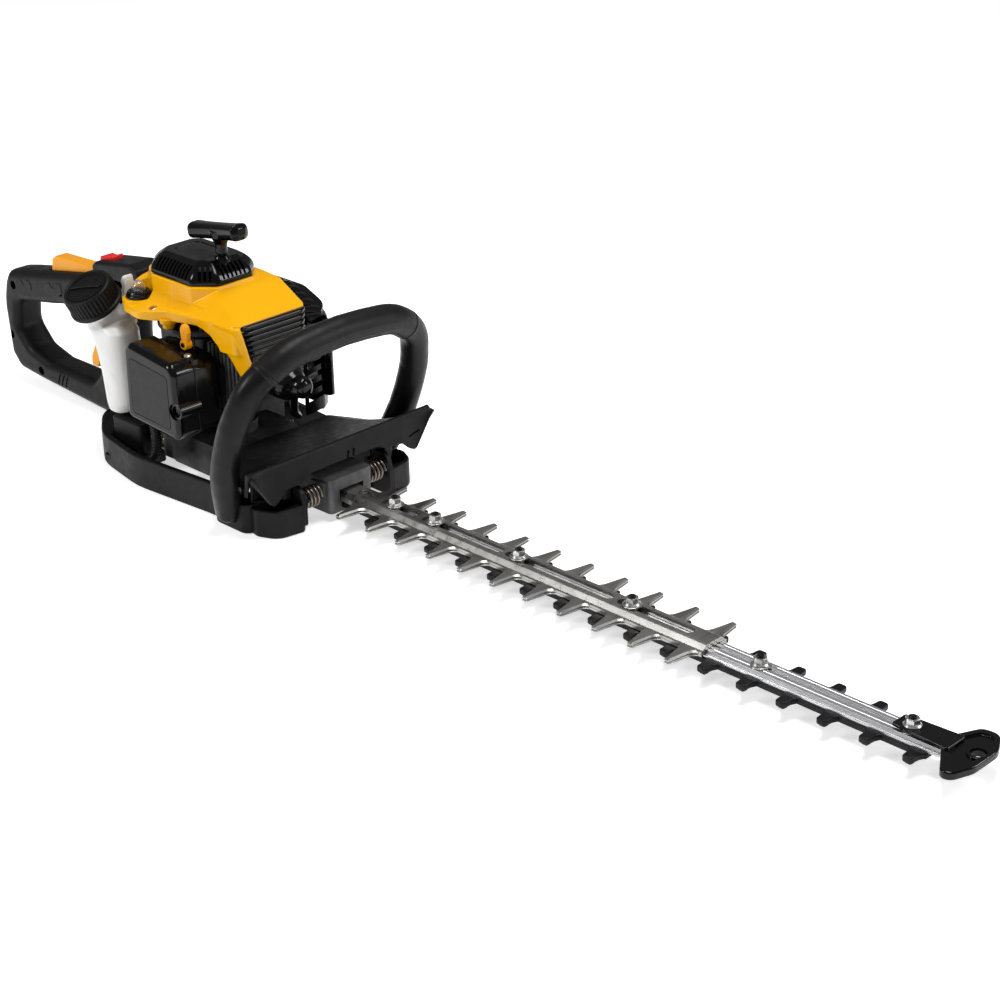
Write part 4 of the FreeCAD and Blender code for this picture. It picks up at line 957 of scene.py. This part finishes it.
def choke():
    """Yellow paddle on its pivot."""
    x, y, z = CHOKE_PIVOT
    grip = slab("y", [(x - 3.4, z - 1), (x - 5.2, z + 12), (x - 2.4, z + 18), (x + 3.2, z + 17.4),
                      (x + 5.4, z + 11),
                      (x + 3.4, z - 1)], y - 2.6, y + 2.6, (1, 5, 4, 4, 5, 1), 1.9)
    hub = rod(4.5, CHOKE_PIVOT - Y * 3.4, CHOKE_PIVOT + Y * 3.4, 36, 0.7)
    rib = slab("y", [(x - 1.3, z + 2), (x - 1.6, z + 13), (x + 1.6, z + 13), (x + 1.3, z + 2)], y - 3.2,
               y + 3.2, 1, 0.7)
    made = cut(join([grip, hub, rib]), [pin_room(CHOKE_PIVOT, reach=5)])
    piece("choke_paddle", made, "yellow_lever_plastic", "choke_lever", ["choke_lever"])


# ---- fuel ---------------------------------------------------------------------------

def tank():
    """Blow-moulded tank that tapers to a narrow foot, with a leaning neck."""
    rings = []
    levels = ((45.5, -311, -298, -64, -44, 6), (48, -314.5, -292, -68, -41, 9),
              (56, -315.5, -287, -70.5, -38, 12),
              (81, -318.5, -285.5, -71.5, -37, 14), (98, -321.5, -286, -71.8, -36.6, 14), (110, -326, -287,
                                                                                           -71.5, -37, 14),
              (120, -333, -289, -71, -37.5, 12), (127, -338, -298, -69.5, -38, 11), (131, -338, -303, -67,
                                                                                     -41, 9))
    for z, x0, x1, y0, y1, r in levels:
        rings.append([(p.x, p.y, z) for p in rounded([(x0, y0), (x1, y0), (x1, y1), (x0, y1)], r)])
    body = loft(rings)
    neck = rod(16.8, CAP_BASE - CAP_AXIS * 34, CAP_BASE + CAP_AXIS * 8, 48)
    collar = rod(17.6, CAP_BASE - CAP_AXIS * 7, CAP_BASE - CAP_AXIS * 3.5, 48, 1.2)
    horn = slab("y", [(-315, 118), (-314, 158), (-308.5, 166), (-306.8, 158), (-306.8, 118)], -41, -31,
                (0, 6, 2, 2, 0), 1)
    cut(horn, [rod(26.5, CAP_BASE - CAP_AXIS * 2.2, CAP_BASE + CAP_AXIS * 22, 48)])
    made = join([body, neck, collar, horn])
    cut(made, [rod(13.8, CAP_BASE - CAP_AXIS * 20, CAP_BASE + CAP_AXIS * 12, 40),
               box((-306.2, -240), (-90, 0), (125.4, 190))])
    soften(made, 0.8, 14, 0.5)
    piece("tank", made, "tank_plastic", nodes=["fuel_tank"], sharp=math.radians(80))


def ribbed(depth, count, levels, base, axis):
    """A lathe form whose rim is cut into ribs."""
    axis = Vector(axis).normalized()
    side = axis.orthogonal().normalized()
    other = axis.cross(side)
    sides = count * 6
    rings = []
    for r, height, ribs in levels:
        ring = []
        for k in range(sides):
            t = 2 * math.pi * k / sides
            wave = max(0.0, math.cos(count * t)) ** 0.5 * depth * ribs
            reach = r - depth * ribs + wave
            ring.append(Vector(base) + axis * height + (side * math.cos(t) + other * math.sin(t)) * reach)
        rings.append(ring)
    return loft(rings)


def cap():
    """Screw cap with a ribbed skirt, a flange at its foot and a bar across the sunk top."""
    levels = ((23.6, -2, 0), (24.0, -1.4, 0), (24.0, 0.9, 0), (23.4, 1.5, 0), (22.7, 1.8, 0),
              (23.0, 2.4, 1),
              (23.0, 15.4, 1), (22.6, 16.6, 0.7), (21.8, 18.0, 0.2), (20.6, 18.9, 0), (19.4, 19.0,
                                                                                       0), (18.8, 18.6, 0),
              (18.4, 17.9, 0), (0.4, 17.9, 0))
    made = ribbed(0.9, 40, levels, CAP_BASE, CAP_AXIS)
    room = rod(17.9, CAP_BASE - CAP_AXIS * 3, CAP_BASE + CAP_AXIS * 14)
    cut(made, [room])
    lean = Matrix.Translation(CAP_BASE * MM) @ Z.rotation_difference(CAP_AXIS).to_matrix().to_4x4()
    for shape in cap_relief():
        shape.data.transform(lean)
        made = join([made, shape])
    piece("cap", made, "black_matte_plastic", "fuel_cap", ["fuel_cap"])


def cap_relief():
    """A ring, and a grip bar whose ends curve into it, in the cap's own frame."""
    ring = lathe([(17.2, 17.5), (17.4, 18.5), (16.6, 18.7), (16.0, 18.5), (15.8, 17.5), (17.2, 17.5)],
                 (0, 0, 0), Z, 64)
    bar = slab("z", [(-15.5, -2.3), (-6, -1.5), (6, -1.5), (15.5, -2.3), (15.5, 2.3), (6, 1.5), (-6, 1.5),
                     (-15.5, 2.3)],
               17.4, 19.9, (1.5, 6, 6, 1.5, 1.5, 6, 6, 1.5), 0.8)
    turn = Matrix.Rotation(math.radians(25), 4, "Z")
    bar.data.transform(turn)
    dots = [rod(1.1, (11.5 * math.cos(t), 11.5 * math.sin(t), 17.4),
                (11.5 * math.cos(t), 11.5 * math.sin(t), 18.5), 20, 0.4)
            for t in [math.radians(25 + 60 + 60 * k) for k in (0, 1, 3, 4)]]
    return [ring, bar] + dots


def primer():
    """Clear bulb in a stepped glossy ring."""
    ring = lathe([(6.9, -8), (8.2, -8), (8.2, 0), (10.9, 0), (11.3, 0.5), (11.3, 2.4), (10.8, 3),
                  (10.2, 3.1), (10.1, 3.6),
                  (10.2, 4.6), (9.6, 5.4), (8.4, 5.6), (7.2, 5.0), (6.9, 4.2), (6.9, -8)], PRIMER, Z, 56)
    piece("primer_ring_looks", ring, "black_gloss_plastic", nodes=["primer_ring"])
    bulb = []
    for radius, foot in ((6.5, -1.0), (5.4, -2.0)):
        dome = [(radius, foot), (radius, 7.0)]
        dome += [(radius * math.cos(t),
                  7.0 + (radius + 1) * math.sin(t)) for t in [math.radians(9 * k) for k in range(1, 10)]]
        bulb.append(dome)
    profile = bulb[0] + [(0.01, 14.4)] + [(0.01, 13.3)] + bulb[1][::-1] + [bulb[0][0]]
    piece("primer_dome", lathe(profile, PRIMER, Z, 48), "clear_bulb", "primer_bulb", ["primer_bulb"],
          sharp=math.radians(60))


# ---- rear handle --------------------------------------------------------------------

HANDLE_OUTER = [(-541, 98), (-534, 110), (-514, 114.5), (-466, 124), (-396, 137.5), (-346, 137.5),
                (-346, 30), (-356, 2), (-404, 4.5), (-494, 9.5), (-530, 12.5), (-542.5, 26), (-546.7, 78)]
HANDLE_OUTER_BENDS = (14, 10, 16, 40, 10, 1, 1, 8, 30, 20, 12, 12, 60)
HANDLE_OPEN = [(-522, 82), (-466, 92), (-441, 97.5), (-398, 101), (-398, 44), (-410, 31), (-480, 31),
               (-508, 38),
               (-526, 56)]
HANDLE_OPEN_BENDS = (9, 20, 14, 6, 8, 9, 14, 14, 12)
HANDLE_SCREWS = ((-524, 98), (-447, 109), (-536, 46), (-492, 20), (-372, 20), (-362, 108))
TRIGGER_PIVOT = Vector((-386, 0, 110))
LOCKOUT_PIVOT = Vector((-402, 0, 128))
ROCKER_PIVOT = Vector((-382, 0, 150.3))


def handle_half(side):
    """One shell of the looped grip: rounded flank, ribbed back, wavy grip pads and sunk screws."""
    low, high = span(side, 0.05, 16.0)
    rims = (9.0, 0.5) if side < 0 else (0.5, 9.0)
    flares = (-8.0, 0) if side < 0 else (0, -8.0)
    shell = slab("y", HANDLE_OUTER, low, high, HANDLE_OUTER_BENDS, rims[0], rims[1])
    inner = span(side, -1.0, 16.0)
    opening = slab("y", HANDLE_OPEN, inner[0], inner[1], HANDLE_OPEN_BENDS, flares[0], flares[1])
    lever_room = box((-474, -393), (-7.7, 7.7), (108, 160))
    trigger_room = box((-412, -372), (-7.7, 7.7), (26, 128))
    wire_room = box((-380, -347), (-12, 12), (116, 160))
    cut(shell, [opening, lever_room, trigger_room, wire_room])
    for x, z in HANDLE_SCREWS:
        cut(shell, [rod(4.3, (x, side * 8.8, z), (x, side * 22, z), 28),
                    rod(3.2, (x, 0, z), (x, side * 20, z), 24)])
    pads = []
    for x, z, length in ((-516, 97.5, 21), (-472, 106, 27)):
        wave = [(x, z), (x + 4, z + 8), (x + length * 0.36, z + 9.5), (x + length * 0.46, z + 5.5),
                (x + length * 0.6, z + 5.5),
                (x + length * 0.7, z + 11), (x + length, z + 12), (x + length + 3,
                                                                   z + 2), (x + length * 0.6, z - 3.5),
                (x + length * 0.35, z - 3)]
        pads.append(slab("y", wave, *span(side, 11.0, 16.5), 2.2, 1.2))
    made = join([shell] + pads)
    grooves = []
    for k in range(10):
        z = 92 - 6.2 * k
        x = -546.7 + (3.9 * (z - 78) / 14 if z > 78 else 4.2 * (78 - z) / 52)
        grooves.append(rod(2.9, (x - 1.5, -20, z), (x - 1.5, 20, z), 20))
    for k in range(8):
        x = -474 + 5.2 * k
        grooves.append(rod(1.5, (x, -20, 31.5), (x, 20, 31.5), 16))
    for k in range(3):
        x = -467 + 6.0 * k
        grooves.append(slab("y", [(x, 13), (x + 2, 13), (x + 8, 26), (x + 6, 26)], *span(side, 15.0, 18.0),
                            0.9, 0))
    for k in range(6):
        x = -530 + 6.5 * k
        grooves.append(rod(1.5, (x, -20, 112 + 1.35 * k), (x, 20, 112 + 1.35 * k), 16))
    cut(made, grooves)
    name = "rear_handle_near" if side < 0 else "rear_handle_far"
    piece(name + "_shell", made, "black_matte_plastic", nodes=[name])


def handle_screws():
    screws = []
    for x, z in HANDLE_SCREWS:
        head = lathe([(0.01, 0), (1.9, 0), (1.9, 7), (3.1, 7.2), (3.1, 8.7), (2.6, 9.3), (0.01, 9.5)],
                     (x, -1.5, z), -Y, 28)
        cross = [box((x - 0.5, x + 0.5), (-12, -9.2), (z - 2, z + 2)),
                 box((x - 2, x + 2), (-12, -9.2), (z - 0.5, z + 0.5))]
        screws.append(cut(head, cross))
    piece("handle_screw_heads", heap(screws), "screw_black", nodes=["handle_screws"])


def controls():
    """Trigger, lockout wedge, switch block and its plain rocker."""
    trigger = slab("y", [(-394, 117), (-379, 117), (-379, 100), (-392, 70), (-412, 42), (-421, 42),
                         (-421, 51), (-408, 74),
                         (-397, 102)], -6.5, 6.5, (3, 3, 6, 20, 3, 2, 3, 20, 4), 2.0)
    cut(trigger, [pin_room(TRIGGER_PIVOT)])
    piece("trigger", trigger, "yellow_lever_plastic", "throttle_trigger", ["throttle_trigger"])
    lockout = slab("y", [(-471, 118), (-468.5, 134), (-462, 138.5), (-412, 141), (-398, 141.5),
                         (-396.4, 137),
                         (-396.4, 122.5), (-440, 118)], -6.5, 6.5, (2, 3, 4, 10, 2, 2, 2, 10), 1.3)
    cut(lockout, [pin_room(LOCKOUT_PIVOT)])
    piece("lockout_wedge", lockout, "yellow_lever_plastic", "throttle_lockout", ["throttle_lockout"])
    outline = [(-394.5, 137.6), (-394, 147.5), (-388, 151.8), (-366, 155.5), (-338, 160), (-326, 157),
               (-320, 148),
               (-320, 120), (-345.8, 120), (-345.8, 137.6)]
    block = slab("y", outline, -15, 15, (1, 4, 8, 20, 8, 5, 5, 3, 0, 0), 3.5)
    rocker_room = box((-392.5, -370.5), (-7.3, 7.3), (144.8, 175), 0, 1)
    pin = pin_room(ROCKER_PIVOT, 1.5, 20)
    under = box((-343, -323), (-12, 12), (117, 148))
    made = join([cut(block, [rocker_room, under]), pin])
    piece("switch_block", made, "black_matte_plastic", nodes=["switch_housing"])
    reach = [(-9, -2), (-8.2, 4.2), (0, 4), (8.2, 7.4), (9, 1), (5, -3.5), (-5, -5)]
    rocker = slab("y", [(ROCKER_PIVOT.x + x, ROCKER_PIVOT.z + z) for x, z in reach], -6.9, 6.9,
                  (1, 1.2, 6, 1.2, 1, 1, 1), 0.8)
    cut(rocker, [pin_room(ROCKER_PIVOT, 1.55, 20)])
    piece("rocker", rocker, "red_plastic", "stop_switch", ["stop_switch"])


# ---- frame --------------------------------------------------------------------------

BAND = [(-98, -44), (-98, -78), (-160, -80), (-250, -88), (-312, -77), (-348, -50), (-366, -16)]
BAND_INNER = [(-103, -44), (-103, -73), (-160, -75), (-250, -83), (-309, -72.5), (-344, -47), (-361, -14)]
BAND_BENDS = [0, 14, 60, 90, 60, 40, 20]


HANDLE_BENDS = (0, 110, 90, 40, 50, 200, 50, 40, 90, 110, 0)
HANDLE_MIDDLE, HANDLE_LEAN = Vector((-98, 0, 96)), 0.36
TUBE, SLEEVE = 12.0, 12.7


def handle_points():
    """The loop's corners: it leans forward as it rises."""
    near = [(-83, 12), (-99, 56), (-99, 100), (-88, 136), (-58, 156), (0, 162.5)]
    far = [(-y, z) for y, z in reversed(near[:-1])]
    return [Vector((HANDLE_MIDDLE.x + HANDLE_LEAN * (z - HANDLE_MIDDLE.z), y, z)) for y, z in near + far]


def handle_route():
    return spaced(bent(handle_points(), HANDLE_BENDS), 3.0)


def front_handle():
    """Round tube and its soft sleeve, with collars where the sleeve ends."""
    route = handle_route()
    past_end = 5
    first = route[0] + (route[0] - route[1]).normalized() * past_end
    last = route[-1] + (route[-1] - route[-2]).normalized() * past_end
    fine = spaced([first] + route + [last], 1.5)

    def tube_radius(share):
        from_end = min(share, 1 - share) * (len(fine) - 1) * 1.5
        return TUBE * math.sqrt(max(0.05, 1 - (1 - min(1, from_end / 9)) ** 2))

    piece("front_handle_tube", sweep(fine, tube_radius, 40), "handle_tube_black", nodes=["front_handle"])
    over = spaced([p for p in route if abs(p.y) <= 79], 1.0)
    runs = len(over) - 1

    def sleeve_radius(share):
        from_end = min(share, 1 - share) * runs
        if from_end < 1.5:
            return TUBE - 0.1 + 0.8 * math.sqrt(from_end / 1.5)
        return TUBE if 4.5 < from_end < 6 else SLEEVE

    sleeve = sweep(over, sleeve_radius, 48)
    ridges = [sweep(ridge_line(over[7:-7], 12.5, spin)[::3], 0.5, 8) for spin in (1.9, 2.35, 2.8)]
    piece("front_sleeve", join([sleeve] + ridges), "handle_foam", nodes=["front_grip"])


def ridge_line(route, radius, spin):
    """A line along the outside of the handle, spin radians round from its top."""
    made = []
    for i, point in enumerate(route):
        along = (route[min(i + 1, len(route) - 1)] - route[max(i - 1, 0)]).normalized()
        across = Vector((1, 0, HANDLE_LEAN)).normalized()
        out = along.cross(across).normalized()
        if out.dot(point - HANDLE_MIDDLE) < 0:
            out = -out
        made.append(point + (out * math.cos(spin) + across * math.sin(spin)) * radius)
    return made


def chassis():
    """Moulded band with a rolled top edge, spring blocks, pockets for the handle and front arms."""
    outer, inner = mirrored(BAND), mirrored(BAND_INNER)
    bends = BAND_BENDS + BAND_BENDS[::-1]
    wall = slab("z", outer, 0, 28, bends, 1.6)
    cut(wall, [slab("z", inner, -2, 30, bends, 0), box((-112, -88), (-43, 43), (-1, 60))])
    foot = cut(slab("z", outer, 0, 4, bends, 1.2), [slab("z", shrink(inner, (-230, 0), 6), -2, 30, bends,
                                                         0),
                                                    box((-116, -88), (-43, 43), (-1, 60))])
    parts = [wall, foot]
    for side in (-1, 1):
        parts.append(box((-306, -266), span(side, 42, 68), (4, 44), 1.5, 3))
        parts.append(box((-306, -266), span(side, 60, 80), (4, 12), 1.0, 2))
        pocket = slab("z", [(-150, side * 64), (-106, side * 64), (-101, side * 74), (-106, side * 86),
                            (-150, side * 86)],
                      0, 26, (9, 8, 6, 9, 12), 1.4)
        parts.append(pocket)
        arm = slab("z", [(-106, side * 45), (-78, side * 45), (-74, side * 50), (-78, side * 74),
                         (-96, side * 82),
                         (-106, side * 80)], 0, 24, (2, 4, 3, 16, 8, 2), 1.4)
        hollow = slab("z", [(-104, side * 49.5), (-80.5, side * 49.5), (-80.5, side * 72), (-95, side * 78),
                            (-104, side * 76)], 3, 30, (2, 5, 13, 6, 2), 0)
        parts.append(cut(arm, [hollow]))
        parts.append(slab("y", [(-100, 4), (-74, 4), (-74, 24), (-78, 38), (-92, 38), (-103, 26)],
                          *span(side, 45, 50), (0, 3, 9, 8, 8, 0), 0.8))
    parts.append(box((-362, -345.8), (-22, 22), (0, 24), 1.2, 3))
    made = join(parts)
    tube = sweep(handle_route(), TUBE + 0.05, 32)
    grip = slab("y", HANDLE_OUTER, -16.1, 16.1, HANDLE_OUTER_BENDS, 0)
    cut(made, [tube, grip])
    piece("chassis_frame", made, "black_matte_plastic", nodes=["chassis"])


def clamped(share):
    return min(1.0, max(0.0, share))


def smooth(share):
    """A share of the way that starts and ends gently."""
    share = clamped(share)
    return share * share * (3 - 2 * share)


def shield():
    """Thin moulded guard: sloping deck, rounded crest and a deep lip that drops between the arms."""
    across, along = 84, 30
    half_width, crest, fold_x = 99, 65.5, -84.5
    rows = []
    for i in range(across + 1):
        y = half_width * (2 * i / across - 1)
        side = abs(y)
        lip_low = 47.5 - 5.5 * smooth((side - 34) / 16) - 9.5 * smooth((side - 62) / 15)
        if side > 80:
            lip_low += 30 * clamped((side - 79) / 20)
        back_x = -166 + 79 * clamped((side - 58) / 40)
        row = []
        for j in range(along + 1):
            s = j / along
            if s < 0.55:
                t = s / 0.55
                x = back_x + (fold_x - back_x) * t
                z = 44.5 + (crest - 2.5 - 44.5) * t ** 1.4
            elif s < 0.7:
                t = (s - 0.55) / 0.15
                x = fold_x + 4.5 * t
                z = crest - 2.5 + 2.5 * math.sin(t * math.pi) * 0.8
            else:
                t = (s - 0.7) / 0.3
                x = -80.0 + (3.0 * (side / 100) ** 1.5 + 2.0) * t
                z = crest - 2.5 + (lip_low - crest + 2.5) * t
            row.append((x, y, z))
        rows.append(row)
    points = [p for row in rows for p in row]
    width = along + 1
    faces = [(i * width + j, i * width + j + 1, (i + 1) * width + j + 1, (i + 1) * width + j)
             for i in range(across) for j in range(along)]
    sheet = solid(points, faces)
    thick = sheet.modifiers.new("thick", "SOLIDIFY")
    thick.thickness, thick.offset = 2.8 * MM, -1.0
    round_edge = sheet.modifiers.new("round", "BEVEL")
    round_edge.width, round_edge.segments, round_edge.limit_method = 0.8 * MM, 2, "ANGLE"
    round_edge.angle_limit = math.radians(60)
    settle(sheet)
    tube = sweep(handle_route(), TUBE + 0.2, 32)
    slots = [slab("x", [(y, 46), (y + 2.2, 46), (y + 4.4, 54), (y + 2.2, 54)], -92, -60, 0.8,
                  0) for y in (2, 8)]
    slots.append(slab("x", [(72, 44), (84, 47), (84, 48.6), (72, 45.6)], -90, -60, 0.7, 0))
    cut(sheet, [tube] + slots)
    feet = [box((-103, -86), span(side, 51, 60), (28, 48), 0.6, 2) for side in (-1, 1)]
    webs = [box((-107, -104.5), span(side, 52, 78), (16, 47), 0.6, 2) for side in (-1, 1)]
    made = heap([sheet] + feet + webs)
    piece("hand_guard", made, "black_matte_plastic", nodes=["hand_shield"], sharp=math.radians(50))


def conduit():
    """Corrugated sleeve over the cables from the handle."""
    route = bent([(-265.9, -70, 18), (-252, -73, 17), (-240, -72, 26), (-238, -71, 42), (-238, -72, 56.6)],
                 (0, 16, 16, 60, 0))
    fine = spaced(route, 0.45)
    turns = len(fine) * 0.45 / 2.7
    made = sweep(fine, lambda share: 3.95 + 0.75 * max(-0.6, math.cos(2 * math.pi * turns * share)), 20)
    piece("cable_sleeve", made, "rubber", nodes=["throttle_conduit"], sharp=math.radians(80))


# ---- stage --------------------------------------------------------------------------

def camera():
    """The viewpoint of a standing person off the near front corner."""
    azimuth, elevation, roll = math.radians(45.28), math.radians(25.0), math.radians(-1.17)
    back = Vector((math.sin(azimuth) * math.cos(elevation), -math.cos(azimuth) * math.cos(elevation),
                   math.sin(elevation)))
    level = Vector((math.cos(azimuth), math.sin(azimuth), 0))
    upright = back.cross(level)
    across = level * math.cos(roll) + upright * math.sin(roll)
    up = upright * math.cos(roll) - level * math.sin(roll)
    turned = Matrix((across, up, back)).transposed().to_4x4()
    data = bpy.data.cameras.new("camera")
    data.lens, data.sensor_width = 79.6, 36
    data.shift_x = 0.002
    data.clip_start, data.clip_end = 0.05, 50
    made = linked(bpy.data.objects.new("camera", data))
    made.matrix_world = Matrix.Translation(Vector((1191.7, -1080.8, 783.2)) * MM) @ turned
    bpy.context.scene.camera = made


def lamp(name, place, target, size, watts):
    data = bpy.data.lights.new(name, "AREA")
    data.shape, data.size, data.size_y, data.energy = "RECTANGLE", size[0], size[1], watts
    made = linked(bpy.data.objects.new(name, data))
    made.location = place
    made.rotation_euler = (Vector(target) - Vector(place)).to_track_quat("-Z", "Y").to_euler()


def studio():
    """Pale floor, pale surroundings and three soft boxes."""
    half = 6.0
    floor = solid([(x / MM, y / MM, 0) for x, y in ((-half, -half), (half, -half), (half, half),
                                                    (-half, half))],
                  [(0, 1, 2, 3)])
    floor.name = "floor"
    floor.location.z = -0.0004
    paint = Paint("floor_paint", 0.9, Specular_IOR_Level=0.1, Emission_Strength=0.55)
    paint.shader.inputs["Emission Color"].default_value = (1, 1, 1, 1)
    paint.colour(paint.noise(3, 2), [(0.3, (0.90, 0.90, 0.90)), (0.7, (0.93, 0.93, 0.93))])
    floor.data.materials.append(paint.material)
    world = bpy.context.scene.world or bpy.data.worlds.new("world")
    bpy.context.scene.world = world
    world.use_nodes = True
    sky = next(n for n in world.node_tree.nodes if n.type == "BACKGROUND")
    sky.inputs["Color"].default_value = (1, 1, 1, 1)
    sky.inputs["Strength"].default_value = 0.22
    lamp("top_box", (0.2, 0.3, 1.9), (-0.1, 0, 0), (1.3, 0.5), 27)
    lamp("key_box", (-1.0, -1.6, 1.3), (-0.25, 0, 0.1), (0.5, 0.8), 22)
    lamp("rim_box", (1.5, 1.2, 1.0), (0, 0, 0.1), (0.3, 1.1), 16)
    bpy.context.scene.view_settings.view_transform = "Standard"


camera()
studio()
paint_cad()
blade("upper_blade", 20.6)
blade("lower_blade", 18.5)
comb()
bar()
fasteners()
tip()
engine_cover()
grille()
starter()
pull_handle()
muffler_guard()
plug_boot()
air_box()
choke()
tank()
cap()
primer()
handle_half(-1)
handle_half(1)
handle_screws()
controls()
front_handle()
chassis()
shield()
conduit()
